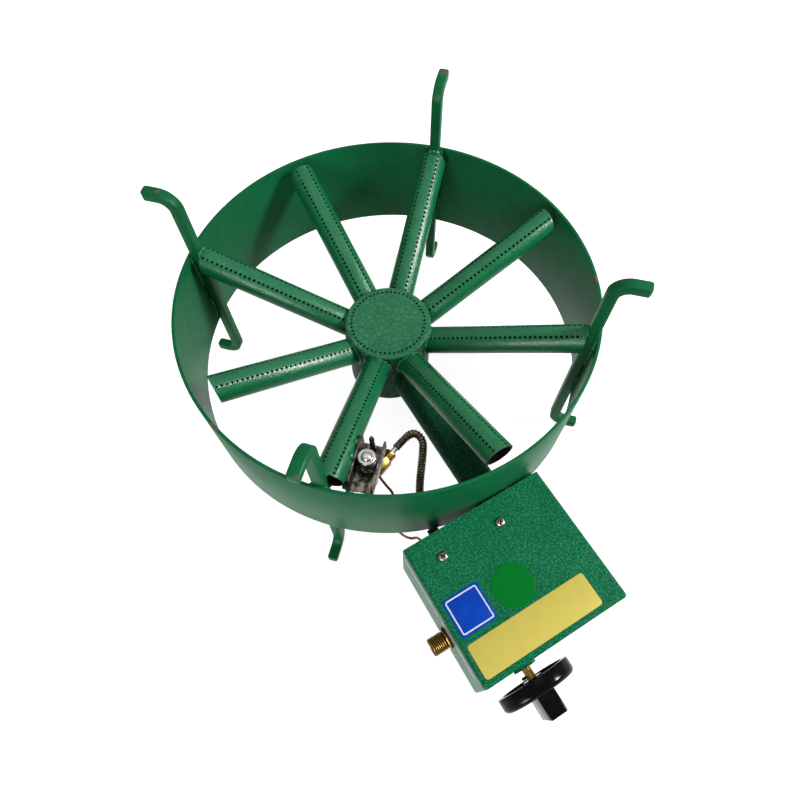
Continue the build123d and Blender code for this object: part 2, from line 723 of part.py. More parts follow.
# Pilot burner: body through the bracket, lock nut under it, hood over the nozzle
pilot_hex_z = pilot_floor_z + plate + weld_gap
spigot_z = pilot_hex_z + pilot_hex_height
nozzle_z = spigot_z + pilot_spigot_height
with BuildPart() as pilot_body:
    add(rod(pilot, pilot_body_r, pilot_body_bottom_z, pilot_hex_z))
    add(rod(pilot, pilot_block_r, pilot_body_bottom_z, pilot_body_bottom_z + pilot_block_height))
    add(hexagon(pilot, pilot_hex_across, pilot_hex_z, spigot_z))
    add(rod(pilot, pilot_spigot_r, spigot_z, nozzle_z))
    add(rod(pilot, pilot_nozzle_r, nozzle_z, nozzle_z + pilot_nozzle_height))
    add(rod(pilot, injector_jet_r, feed_z, nozzle_z + pilot_nozzle_height), mode=Mode.SUBTRACT)
    add(rod(feed_line, feed_stub_r + run_gap, 0, pilot_block_r * 2), mode=Mode.SUBTRACT)
save(pilot_body.part, "pilot_body")

with BuildPart() as pilot_locknut:
    locknut_top = pilot_floor_z - weld_gap
    add(hexagon(pilot, pilot_hex_across, locknut_top - pilot_locknut_height, locknut_top))
    add(rod(pilot, pilot_body_r + run_gap, 0, pilot_floor_z), mode=Mode.SUBTRACT)
save(pilot_locknut.part, "pilot_locknut")

hood_bottom_z = spigot_z + weld_gap
with BuildPart() as pilot_hood:
    add(rod(pilot, hood_r, hood_bottom_z, hood_rim_z))
    fillet(pilot_hood.edges().group_by(Axis.Z)[-1], hood_edge_r)
    add(rod(pilot, hood_dome_r, hood_rim_z, hood_top_z))
    fillet(pilot_hood.edges().group_by(Axis.Z)[-1], hood_dome_edge_r)
    add(rod(pilot, pilot_spigot_r + run_gap, hood_bottom_z, hood_rim_z - plate), mode=Mode.SUBTRACT)
    slot_low = (-hood_slot_width / 2, -hood_r * 2, hood_rim_z - hood_edge_r - hood_slot_height)
    slot_high = (hood_slot_width / 2, 0, hood_rim_z - hood_edge_r)
    add(slab(pilot, slot_low, slot_high), mode=Mode.SUBTRACT)
save(pilot_hood.part, "pilot_hood")

# Pilot feed: fitting in the body's side, then the nut on the tube
feed_hex_end = feed_hex_start + feed_hex_length
with BuildPart() as feed_fitting:
    add(hexagon(feed_line, feed_across, feed_hex_start, feed_hex_end))
    add(rod(feed_line, feed_stub_r, injector_nose_r, feed_hex_start))
    add(rod(feed_line, feed_stub_r - plate / 2, injector_nose_r, feed_hex_end), mode=Mode.SUBTRACT)
save(feed_fitting.part, "feed_fitting")

feed_nut_start = feed_hex_end + weld_gap
feed_nut_end = feed_nut_start + feed_nut_length
hose_start = feed_nut_end + hose_gap
with BuildPart() as feed_nut:
    add(hexagon(feed_line, feed_nut_across, feed_nut_start, feed_nut_end))
    add(rod(feed_line, pilot_tube_r + run_gap, feed_nut_start, feed_nut_end), mode=Mode.SUBTRACT)
save(feed_nut.part, "feed_nut")

# Thermocouple probe and its nut under the bracket
with BuildPart() as thermocouple_probe:
    add(rod(probe_line, probe_r, probe_bottom_z, probe_top_z))
    fillet(thermocouple_probe.edges().group_by(Axis.Z)[-1], probe_r / 2)
save(thermocouple_probe.part, "thermocouple_probe")

with BuildPart() as probe_nut:
    add(hexagon(probe_line, probe_nut_across, locknut_top - probe_nut_height, locknut_top))
    add(rod(probe_line, probe_r + run_gap, 0, pilot_floor_z), mode=Mode.SUBTRACT)
save(probe_nut.part, "probe_nut")

# Plain tube ends of the pilot hose: one in the pilot's nut, one in the valve's boss
with BuildPart() as feed_stub:
    add(rod(feed_line, pilot_tube_r, feed_nut_start + weld_gap, hose_start + hose_overlap))
    stub_bore = rod(feed_line, pilot_tube_r - pilot_tube_wall, feed_nut_start, hose_start + hose_overlap)
    add(stub_bore, mode=Mode.SUBTRACT)
save(feed_stub.part, "feed_stub")

# Union nut on the valve's pilot boss
union_start = pilot_boss_depth + pilot_boss_length + weld_gap
with BuildPart() as union_nut:
    add(hexagon(pilot_port, union_across, union_start, union_start + union_length))
    add(rod(pilot_port, pilot_tube_r + run_gap, union_start, union_start + union_length), mode=Mode.SUBTRACT)
save(union_nut.part, "union_nut")

# Black sleeve that leads the conduit through the box's rear wall
sleeve_line = Plane(origin=(pilot_port_x, rear_wall_y, pilot_port_z), x_dir=(-1, 0, 0), z_dir=(0, 1, 0))
sleeve_inner = -sheet - sleeve_flange
with BuildPart() as hose_sleeve:
    add(rod(sleeve_line, sleeve_r, sleeve_inner, sleeve_length))
    add(rod(sleeve_line, sleeve_flange_r, weld_gap, sleeve_flange))
    add(rod(sleeve_line, sleeve_flange_r, sleeve_inner, -sheet - weld_gap))
    add(rod(sleeve_line, hose_r + fit_gap, sleeve_inner, sleeve_length), mode=Mode.SUBTRACT)
save(hose_sleeve.part, "hose_sleeve")

# Ribbed hose: a loop beside the pilot, then down under the ring and through the sleeve
hose_points = [
    tuple(feed_line.from_local_coords((0, 0, hose_start))),
    tuple(feed_line.from_local_coords((0, 0, hose_start + hose_straight))),
    tuple(pilot.from_local_coords((-50.2, 28.6, 118.5))),
    tuple(pilot.from_local_coords((-45.8, 38.8, 117.0))),
    tuple(pilot.from_local_coords((-36.2, 41.4, 109.5))),
    (pilot_port_x + 3.0, box_rear_y + 47.0, pilot_port_z + 28.0),
    (pilot_port_x, box_rear_y + 32.0, pilot_port_z),
    (pilot_port_x, rear_wall_y + sleeve_inner - hose_r, pilot_port_z),
]
hose_radii = corner_radii(hose_points)
with BuildPart() as hose_bore:
    with BuildLine() as hose_path:
        FilletPolyline(*hose_points, radius=hose_radii)
    with BuildSketch(Plane(hose_path.line @ 0, z_dir=hose_path.line % 0)):
        Circle(hose_bore_r)
    sweep()
hose_run = hose_path.wires()[0]
rib_count = round(hose_run.length / hose_pitch)
rib_length = hose_run.length / rib_count
rib_shape = ((0.0, hose_valley_r), (0.2, hose_r), (0.6, hose_r), (0.8, hose_valley_r))
rings = [(rib + step, radius) for rib in range(rib_count) for step, radius in rib_shape]
with BuildPart() as pilot_hose:
    for place, radius in rings + [(rib_count, hose_valley_r)]:
        spot = hose_run.position_at(place * rib_length, position_mode=PositionMode.LENGTH)
        way = hose_run.tangent_at(place * rib_length, position_mode=PositionMode.LENGTH)
        with BuildSketch(Plane(spot, x_dir=hose_steady, z_dir=way)):
            Circle(radius)
    loft(ruled=True)
    add(hose_bore.part, mode=Mode.SUBTRACT)
save(pilot_hose.part, "pilot_hose")
print("hose: ribs", rib_count, "length", round(hose_run.length, 1))
print("hose: bends", [round(radius, 1) for radius in hose_radii])

with BuildPart() as hose_tail:
    tail_start = pilot_boss_depth + pilot_boss_length / 2
    tail_end = hose_points[-1][1] - box_front_y + hose_overlap
    add(rod(pilot_port, pilot_tube_r, tail_start, tail_end))
    add(rod(pilot_port, pilot_tube_r - pilot_tube_wall, tail_start, tail_end), mode=Mode.SUBTRACT)
save(hose_tail.part, "hose_tail")

# Thermocouple lead: from the probe round the fitting, under the ring and into the magnet unit
lead_room = rear_wall_y - box_front_y - lead_nut_end
lead_points = [
    tuple(probe_line.from_local_coords((0, 0, probe_bottom_z - weld_gap))),
    tuple(probe_line.from_local_coords((0, 0, probe_bottom_z - lead_drop))),
    tuple(pilot.from_local_coords((-18.70, -5.61, 106.0))),
    tuple(pilot.from_local_coords((-13.75, -1.37, 98.5))),
    tuple(pilot.from_local_coords((-1.73, 13.48, 95.0))),
    tuple(pilot.from_local_coords((2.52, 23.38, 87.0))),
    (lead_entry_x - 11.0, box_rear_y + 42.0, pilot_port_z + 20.0),
    (lead_entry_x - 18.0, box_rear_y + 31.0, pilot_port_z + 7.0),
    (lead_entry_x - 10.0, box_rear_y + 18.0, pilot_port_z - 0.5),
    (lead_entry_x, box_rear_y + 16.0, pilot_port_z),
    (lead_entry_x, rear_wall_y - lead_room * lead_leave_share, pilot_port_z),
    (valve_x, rear_wall_y - lead_room * lead_join_share, valve_z),
    tuple(front.from_local_coords((0, 0, stub_end + weld_gap * 2))),
]
lead_radii = corner_radii(lead_points)
with BuildPart() as thermocouple_lead:
    with BuildLine() as lead_path:
        FilletPolyline(*lead_points, radius=lead_radii)
    with BuildSketch(Plane(lead_path.line @ 0, z_dir=lead_path.line % 0)):
        Circle(lead_r)
    sweep()
save(thermocouple_lead.part, "thermocouple_lead")
lead_run = lead_path.wires()[0]
print("lead: length", round(lead_run.length, 1), "bends", [round(radius, 1) for radius in lead_radii])
print("lead: volume", round(thermocouple_lead.part.volume))
print("lead: section by length", round(pi * lead_r**2 * lead_run.length))

# Grommet round the lead in the rear wall
grommet_line = Plane(origin=(lead_entry_x, rear_wall_y, pilot_port_z), x_dir=(-1, 0, 0), z_dir=(0, 1, 0))
with BuildPart() as lead_grommet:
    add(rod(grommet_line, grommet_r / 2, -sheet - grommet_thickness, grommet_thickness))
    add(rod(grommet_line, grommet_r, weld_gap, grommet_thickness))
    add(rod(grommet_line, grommet_r, -sheet - grommet_thickness, -sheet - weld_gap))
    add(rod(grommet_line, lead_r + weld_gap, -grommet_r, grommet_r), mode=Mode.SUBTRACT)
save(lead_grommet.part, "lead_grommet")
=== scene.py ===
"""Looks of a free-standing gas burner: finishes, drilled tubes, welds, hose, knob and small parts.

Every piece is built in metres in the CAD part's own frame. Sizes are held in millimetres, counted
from the wind ring's axis on the floor, because that is how the burner is drawn. A profile is a
row of heights and radii.
"""

import logging
import math
from collections.abc import Callable, Iterator, Sequence
from contextlib import contextmanager
from dataclasses import dataclass, field
from enum import Enum

import bpy
from mathutils import Matrix, Vector

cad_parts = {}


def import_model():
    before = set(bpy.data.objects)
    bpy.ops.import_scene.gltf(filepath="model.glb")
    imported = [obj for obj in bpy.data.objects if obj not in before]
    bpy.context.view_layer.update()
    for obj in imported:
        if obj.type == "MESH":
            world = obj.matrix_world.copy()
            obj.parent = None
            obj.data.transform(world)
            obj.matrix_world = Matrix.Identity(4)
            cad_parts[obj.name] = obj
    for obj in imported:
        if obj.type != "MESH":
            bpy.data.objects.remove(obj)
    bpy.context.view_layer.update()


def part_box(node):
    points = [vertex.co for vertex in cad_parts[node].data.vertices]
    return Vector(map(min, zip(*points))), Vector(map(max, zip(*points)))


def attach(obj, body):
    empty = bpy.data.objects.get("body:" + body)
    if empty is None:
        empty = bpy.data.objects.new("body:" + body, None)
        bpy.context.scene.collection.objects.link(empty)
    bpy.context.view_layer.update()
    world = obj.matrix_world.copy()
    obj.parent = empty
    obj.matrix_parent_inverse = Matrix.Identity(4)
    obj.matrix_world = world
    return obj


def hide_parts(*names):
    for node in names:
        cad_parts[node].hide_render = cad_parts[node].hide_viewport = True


LOG = logging.getLogger("burner")
MM = 0.001
BODY = "burner"
KNOB_BODY = "knob"
FULL_TURN = 360.0
QUARTER_TURN = 90.0
EIGHTH_TURN = 45.0
UP = (0, 0, 1)
RIGHT = (1, 0, 0)
LEFT = (-1, 0, 0)
BACK = (0, 1, 0)
FRONT = (0, -1, 0)
HERE = Matrix.Identity(4)

Colour = tuple[float, float, float, float]
Point = tuple[float, float, float]
Corner = tuple[float, float]
Profile = Sequence[Corner]
Piece = bpy.types.Object
Material = bpy.types.Material


def srgb(red: int, green: int, blue: int) -> Colour:
    """Turns screen values from 0 to 255 into the linear colour that a shader takes.

    Args:
        red, green, blue: The screen values.

    Returns:
        The linear colour, opaque.
    """
    shares = (value / 255 for value in (red, green, blue))
    linear = [s / 12.92 if s <= 0.04045 else ((s + 0.055) / 1.055) ** 2.4 for s in shares]
    return linear[0], linear[1], linear[2], 1.0


class Wire:
    """An output socket of a shader node that takes part in arithmetic."""

    def __init__(self, graph: "Graph", socket: bpy.types.NodeSocket) -> None:
        """Keeps the socket and the graph that it belongs to."""
        self.graph = graph
        self.socket = socket

    def __add__(self, other: "Wire | float") -> "Wire":
        """This plus another wire or a number."""
        return self.graph.maths("ADD", self, other)

    def __radd__(self, other: float) -> "Wire":
        """A number plus this."""
        return self.graph.maths("ADD", other, self)

    def __sub__(self, other: "Wire | float") -> "Wire":
        """This less another wire or a number."""
        return self.graph.maths("SUBTRACT", self, other)

    def __rsub__(self, other: float) -> "Wire":
        """A number less this."""
        return self.graph.maths("SUBTRACT", other, self)

    def __mul__(self, other: "Wire | float") -> "Wire":
        """This times another wire or a number."""
        return self.graph.maths("MULTIPLY", self, other)

    def __rmul__(self, other: float) -> "Wire":
        """A number times this."""
        return self.graph.maths("MULTIPLY", other, self)

    def __truediv__(self, other: "Wire | float") -> "Wire":
        """This divided by another wire or a number."""
        return self.graph.maths("DIVIDE", self, other)

    def __rtruediv__(self, other: float) -> "Wire":
        """A number divided by this."""
        return self.graph.maths("DIVIDE", other, self)

    def over(self, low: float, high: float) -> "Wire":
        """Eases from 0 at low to 1 at high."""
        settings = {"interpolation_type": "SMOOTHSTEP"}
        return self.graph.node("ShaderNodeMapRange", settings, {0: self, 1: low, 2: high})


class Graph:
    """A new material or world and the nodes put into it."""

    def __init__(self, name: str, world: bool = False) -> None:
        """Starts an empty graph.

        Args:
            name: The material's or world's name.
            world: Whether it is a world.
        """
        self.holder = bpy.data.worlds.new(name) if world else bpy.data.materials.new(name)
        self.holder.use_nodes = True
        self.tree = self.holder.node_tree
        self.tree.nodes.clear()
        self.ending = "ShaderNodeOutputWorld" if world else "ShaderNodeOutputMaterial"

    def node(
        self,
        kind: str,
        settings: dict | None = None,
        inputs: dict | None = None,
        output: int | str = 0,
    ) -> Wire:
        """Adds any node.

        Args:
            kind: The node's type name.
            settings: Attributes, set before the inputs because they decide which inputs exist.
            inputs: Values or wires by input name or number.
            output: The output that is wanted.

        Returns:
            That output as a wire.
        """
        node = self.tree.nodes.new(kind)
        for key, value in (settings or {}).items():
            setattr(node, key, value)
        for key, value in (inputs or {}).items():
            if isinstance(value, Wire):
                self.tree.links.new(value.socket, node.inputs[key])
            else:
                node.inputs[key].default_value = value
        return Wire(self, node.outputs[output])

    def maths(self, operation: str, first: Wire | float, second: Wire | float) -> Wire:
        """Adds one Math node."""
        return self.node("ShaderNodeMath", {"operation": operation}, {0: first, 1: second})

    def mix(self, share: Wire | float, first: Wire | Colour, second: Wire | Colour) -> Wire:
        """Blends two colours."""
        return self.node("ShaderNodeMix", {"data_type": "RGBA"}, {0: share, 6: first, 7: second}, 2)

    def place(self) -> Wire:
        """The shaded point in the object's own coordinates."""
        return self.node("ShaderNodeTexCoord", output="Object")

    def noise(self, at: Wire, size: float, detail: float = 2.0, output: int | str = 0) -> Wire:
        """Cloudy noise whose patches are about one size across."""
        inputs = {"Vector": at, "Scale": 1 / size, "Detail": detail}
        return self.node("ShaderNodeTexNoise", None, inputs, output)

    def warped(self, at: Wire, size: float, amount: float) -> Wire:
        """The place, pushed about by noise so that regular patterns lose their edges."""
        factors = {0: self.noise(at, size, output="Color"), 1: (amount,) * 3, 2: at}
        return self.node("ShaderNodeVectorMath", {"operation": "MULTIPLY_ADD"}, factors, "Vector")

    def cells(self, at: Wire, size: float) -> Wire:
        """How far the shaded point is from the edge of its cell, in cells about one size across."""
        inputs = {"Vector": at, "Scale": 1 / size}
        return self.node("ShaderNodeTexVoronoi", {"feature": "DISTANCE_TO_EDGE"}, inputs, "Distance")

    def bump(self, height: Wire, depth: float) -> Wire:
        """A normal bent by a height that runs from 0 to 1."""
        inputs = {"Height": height, "Distance": depth, "Strength": 1.0}
        return self.node("ShaderNodeBump", None, inputs, "Normal")

    def attribute(self, name: str) -> Wire:
        """A value stored on the mesh."""
        return self.node("ShaderNodeAttribute", {"attribute_name": name}, output="Fac")

    def distance(self, at: Wire, spot: Vector) -> Wire:
        """How far the shaded point is from a spot."""
        settings = {"operation": "DISTANCE"}
        return self.node("ShaderNodeVectorMath", settings, {0: at, 1: tuple(spot)}, "Value")

    def surface(self, **inputs: "Wire | Colour | float") -> Material:
        """Ends the graph in one Principled surface; input names have _ for a space."""
        named = {key.replace("_", " "): value for key, value in inputs.items()}
        return self.end(self.node("ShaderNodeBsdfPrincipled", None, named))

    def end(self, shader: Wire) -> Material | bpy.types.World:
        """Joins a shader to the output and hands over what the graph stands in.

        Args:
            shader: The finished shader.

        Returns:
            The material or world.
        """
        output = self.tree.nodes.new(self.ending)
        self.tree.links.new(shader.socket, output.inputs["Surface"])
        return self.holder


@dataclass(frozen=True)
class HammeredPaint:
    """Gloss paint that dries in dimpled cells with darker veins and paler flecks, partly mottle and partly
    painted glints.

    Where the mesh stores a crest value, the paint there is paler: a painted sheen along the tube's top.
    """

    name: str
    colour: Colour
    vein: Colour
    fleck_glint: Colour
    cell: float
    depth: float
    gloss: float
    vein_share: float = 0.6
    fleck_glint_share: float = 0.5
    ior: float = 1.12
    crest_sheen: Colour | None = None

    def material(self) -> Material:
        """Builds the paint's nodes.

        Returns:
            The material.
        """
        g = Graph(self.name)
        at = g.place()
        cell = self.cell * MM
        loose = g.warped(at, cell * 1.6, cell * 0.9)
        dimple = g.cells(loose, cell).over(0.0, 0.3)
        rim = 1 - dimple
        cloud = g.noise(at, cell * 9)
        grain = g.noise(at, cell * 0.3, 3.0)
        # Pale flecks: partly the paint's own mottle, partly painted glints.
        fleck_glint = g.noise(loose, cell * 0.55).over(0.46, 0.6)
        # Paler paint where the mesh stores a crest value: a painted sheen on the tube's top.
        paint = g.mix(g.attribute("crest"), self.colour, self.crest_sheen) if self.crest_sheen else self.colour
        veined = g.mix(rim * self.vein_share + grain * 0.12, paint, self.vein)
        with_fleck_glints = g.mix(fleck_glint * self.fleck_glint_share, veined, self.fleck_glint)
        aged = g.mix((1 - cloud.over(0.35, 0.6)) * 0.2, with_fleck_glints, self.vein)
        return g.surface(
            Base_Color=aged,
            Roughness=self.gloss + grain * 0.14 + rim * 0.06,
            IOR=self.ior,
            Normal=g.bump(dimple * 0.5 + fleck_glint * 0.3 + grain * 0.2, self.depth * MM),
        )


@dataclass(frozen=True)
class SmoothPaint:
    """Satin paint with a fine grain, chipped to brown steel at given spots.

    A chip is x, y and z in millimetres from the ring's axis, and its size in millimetres.
    """

    name: str
    colour: Colour
    shade: Colour
    rust: Colour
    steel: Colour
    gloss: float
    chips: tuple[tuple[float, float, float, float], ...]
    axis_y: float = 87.5
    ior: float = 1.16
    peel_size: float = 1.6
    cloud_size: float = 26
    grain_size: float = 0.5
    speck_size: float = 1.1
    chip_size: float = 2.4
    depth: float = 0.05

    def material(self) -> Material:
        """Builds the paint's nodes.

        Returns:
            The material.
        """
        g = Graph(self.name)
        at = g.place()
        peel = g.noise(at, self.peel_size * MM)
        cloud = g.noise(at, self.cloud_size * MM, 3.0)
        fine = g.noise(at, self.grain_size * MM)
        speck = g.noise(at, self.speck_size * MM).over(0.4, 0.62)
        paint = g.mix(cloud.over(0.3, 0.7) * 0.4 + speck * 0.4, self.shade, self.colour)
        ragged = g.noise(at, self.chip_size * MM, 4.0)
        bare: Wire | float = 0.0
        for x, y, z, size in self.chips:
            near = 1 - g.distance(at, Vector((x, y + self.axis_y, z)) * MM) / (size * MM)
            bare = g.maths("MAXIMUM", (near * 0.8 + ragged - 0.62).over(0.0, 0.06), bare)
        return g.surface(
            Base_Color=g.mix(bare, paint, g.mix(ragged, self.rust, self.steel)),
            Roughness=self.gloss + fine * 0.12 + bare * 0.3,
            IOR=self.ior,
            Normal=g.bump(peel * 0.7 + fine * 0.3 - bare, self.depth * MM),
        )


@dataclass(frozen=True)
class Metal:
    """Bare or plated metal with fine scratches and darker tarnish in patches."""

    name: str
    colour: Colour
    tarnish: Colour
    gloss: float
    patch: float = 6
    worn: float = 0.4
    scratch: float = 0.03
    grain_size: float = 0.6

    def material(self) -> Material:
        """Builds the metal's nodes.

        Returns:
            The material.
        """
        g = Graph(self.name)
        at = g.place()
        fine = g.noise(at, self.grain_size * MM, 3.0)
        tint = g.noise(at, self.patch * MM, 3.0).over(0.42, 0.68) * self.worn
        return g.surface(
            Base_Color=g.mix(tint + fine * 0.12, self.colour, self.tarnish),
            Metallic=1.0 - tint * 0.25,
            Roughness=self.gloss + tint * 0.3 + fine * 0.12,
            Normal=g.bump(fine, self.scratch * MM),
        )


@dataclass(frozen=True)
class Moulded:
    """Moulded plastic or rubber with a fine skin."""

    name: str
    colour: Colour
    worn: Colour
    gloss: float
    ior: float = 1.3
    cloud_size: float = 14
    grain_size: float = 0.7
    depth: float = 0.02

    def material(self) -> Material:
        """Builds the moulding's nodes.

        Returns:
            The material.
        """
        g = Graph(self.name)
        at = g.place()
        cloud = g.noise(at, self.cloud_size * MM, 3.0)
        fine = g.noise(at, self.grain_size * MM)
        return g.surface(
            Base_Color=g.mix(cloud.over(0.45, 0.75) * 0.5, self.colour, self.worn),
            Roughness=self.gloss + cloud * 0.08 + fine * 0.05,
            IOR=self.ior,
            Normal=g.bump(fine, self.depth * MM),
        )


@dataclass(frozen=True)
class Plate:
    """A blank film with slight unevenness and faint handling marks."""

    name: str
    colour: Colour
    mark: Colour
    gloss: float = 0.24
    ior: float = 1.1
    cloud_size: float = 12
    grain_size: float = 0.9
    depth: float = 0.03

    def material(self) -> Material:
        """Builds the film's nodes.

        Returns:
            The material.
        """
        g = Graph(self.name)
        at = g.place()
        cloud = g.noise(at, self.cloud_size * MM, 4.0)
        fine = g.noise(at, self.grain_size * MM)
        return g.surface(
            Base_Color=g.mix(cloud.over(0.5, 0.8) * 0.35 + fine * 0.06, self.colour, self.mark),
            Roughness=self.gloss + cloud * 0.12,
            IOR=self.ior,
            Normal=g.bump(fine * 0.3 + cloud * 0.7, self.depth * MM),
        )


@dataclass(frozen=True)
class RecessShade:
    """Painted shade: a near-black, mottled colour on the inside of a drilled tube and in a recess."""

    name: str
    dark: Colour = srgb(4, 8, 6)
    pale: Colour = srgb(20, 26, 20)
    gloss: float = 0.85
    patch: float = 2

    def material(self) -> Material:
        """Builds the soot's nodes.

        Returns:
            The material.
        """
        g = Graph(self.name)
        shade_mottle = g.noise(g.place(), self.patch * MM)
        return g.surface(Base_Color=g.mix(shade_mottle, self.dark, self.pale), Roughness=self.gloss)


def darker_hammered(name: str, colour: Colour, vein: Colour, fleck_glint: Colour) -> HammeredPaint:
    """Hammered paint of the hub and its pipe, coarse, duller and darker than the tubes."""
    return HammeredPaint(name, colour, vein, fleck_glint, cell=5.0, depth=0.3, gloss=0.36, vein_share=0.7)


class Finish(Enum):
    """Every finish on the burner."""

    TUBE = HammeredPaint(
        "hammered_green_tube",
        srgb(8, 108, 62),
        srgb(3, 82, 46),
        srgb(40, 138, 94),
        cell=2.4,
        depth=0.14,
        gloss=0.2,
        vein_share=0.35,
        fleck_glint_share=0.3,
        ior=1.28,
        # The paler crest colour is a painted sheen along the top of each tube.
        crest_sheen=srgb(46, 120, 82),
    )
    CAP = HammeredPaint(
        "hammered_green_cap",
        srgb(63, 128, 92),
        srgb(36, 99, 67),
        srgb(71, 133, 98),
        cell=5.6,
        depth=0.25,
        gloss=0.32,
        vein_share=0.68,
        fleck_glint_share=0.3,
        ior=1.08,
    )
    # The box's strong pale flecks are partly painted glints.
    BOX = HammeredPaint(
        "hammered_green_box",
        srgb(10, 100, 62),
        srgb(4, 84, 50),
        srgb(40, 134, 96),
        cell=3.0,
        depth=0.2,
        gloss=0.18,
        fleck_glint_share=0.75,
    )
    # Darker and duller than the tube paint.
    SOOTED = darker_hammered("darker_green", srgb(16, 88, 55), srgb(14, 46, 30), srgb(36, 82, 58))
    PIPE = darker_hammered("darker_green_pipe", srgb(26, 100, 66), srgb(22, 54, 37), srgb(44, 92, 66))
    RING = SmoothPaint(
        "satin_green",
        srgb(15, 107, 64),
        srgb(8, 90, 52),
        rust=srgb(98, 104, 78),
        steel=srgb(78, 76, 54),
        gloss=0.36,
        chips=(
            (178.4, -89.7, 180, 6),
            (196, 40.7, 180, 3.5),
            (-194.6, -46, 180, 6),
            (-137.2, 122.7, 257.2, 4),
            (-143.9, 145.1, 257.2, 3),
            (152.7, 148.2, 257.2, 5),
            (-155, -153.2, 257.2, 3),
            (139, -136.1, 257.2, 4),
        ),
    )
    PLUG = Metal("plug_steel", srgb(74, 54, 40), srgb(34, 26, 20), 0.55, worn=0.9)
    ZINC = Metal("zinc_plate", srgb(150, 150, 144), srgb(74, 72, 66), 0.24, patch=4, worn=0.7)
    BRASS = Metal(
        "cast_brass", srgb(140, 108, 50), srgb(68, 49, 22), 0.16, patch=4, worn=0.6, scratch=0.01
    )
    TARNISH = Metal("dark_brass", srgb(64, 46, 20), srgb(30, 22, 10), 0.4, worn=0.6)
    SCREW = Metal("screw_zinc", srgb(134, 132, 122), srgb(54, 50, 42), 0.18, patch=2, worn=0.8)
    DULL = Metal("dulled_zinc", srgb(104, 100, 92), srgb(36, 32, 28), 0.22, patch=5, worn=0.9)
    CHROME = Metal("chrome_plate", srgb(186, 184, 180), srgb(92, 88, 80), 0.1, patch=5, worn=0.5)
    ALUMINIUM = Metal("drawn_aluminium", srgb(186, 186, 184), srgb(130, 130, 128), 0.32)
    HOSE = Metal("corrugated_steel", srgb(104, 94, 78), srgb(44, 36, 28), 0.24, patch=3, worn=0.8)
    COPPER = Metal("drawn_copper", srgb(138, 98, 58), srgb(66, 46, 30), 0.34)
    RUBBER = Moulded("soft_rubber", srgb(16, 16, 16), srgb(34, 34, 34), 0.55, ior=1.2)
    KNOB = Moulded("gloss_moulding", srgb(4, 4, 5), srgb(9, 9, 10), 0.08, ior=1.14)
    BLACK_STEEL = Moulded("blackened_steel", srgb(16, 16, 16), srgb(40, 38, 36), 0.4)
    # Painted shade for the bores of the tubes and the screw recesses.
    SOOT = RecessShade("painted_recess_shade")
    BLUE = Plate("blue_film", srgb(12, 64, 174), srgb(22, 78, 184))
    WHITE = Plate("white_film", srgb(214, 218, 222), srgb(190, 196, 204))
    GREEN_DISC = Plate("green_film", srgb(0, 114, 36), srgb(4, 100, 38))
    YELLOW = Plate("yellow_film", srgb(206, 190, 92), srgb(190, 170, 80))
    SILVER = Plate("silver_film", srgb(140, 148, 142), srgb(108, 118, 114))

    @property
    def shader(self) -> Material:
        """The finish's material, built the first time it is asked for."""
        return bpy.data.materials.get(self.value.name) or self.value.material()


class Datum:
    """The ring's axis on the floor, from which every place is counted in millimetres."""

    def __init__(self) -> None:
        """Finds the ring's axis in the CAD."""
        low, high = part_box("wind_ring")
        self.axis = Vector(((low.x + high.x) / 2, (low.y + high.y) / 2, 0.0))

    def spot(self, x: float, y: float, z: float) -> Vector:
        """A place in the part's frame, in metres."""
        return self.axis + Vector((x, y, z)) * MM

    def frame(self, at: Point, axis: Sequence[float], side: Sequence[float]) -> Matrix:
        """A local frame at a place.

        Args:
            at: The frame's origin in millimetres.
            axis: Where its +Z points.
            side: Roughly where its +X points.

        Returns:
            The matrix that takes local metres to the part's frame.
        """
        up = Vector(axis).normalized()
        across = up.cross(Vector(side)).normalized()
        along = across.cross(up)
        turn = Matrix((along, across, up)).transposed().to_4x4()
        return Matrix.Translation(self.spot(*at)) @ turn

    def level(self, x: float = 0, y: float = 0, z: float = 0) -> Matrix:
        """An upright frame at a place."""
        return self.frame((x, y, z), UP, RIGHT)

    def turned(self, azimuth: float) -> Matrix:
        """A turn about the ring's axis, in degrees."""
        shift = Matrix.Translation(self.axis)
        return shift @ Matrix.Rotation(math.radians(azimuth), 4, "Z") @ shift.inverted()


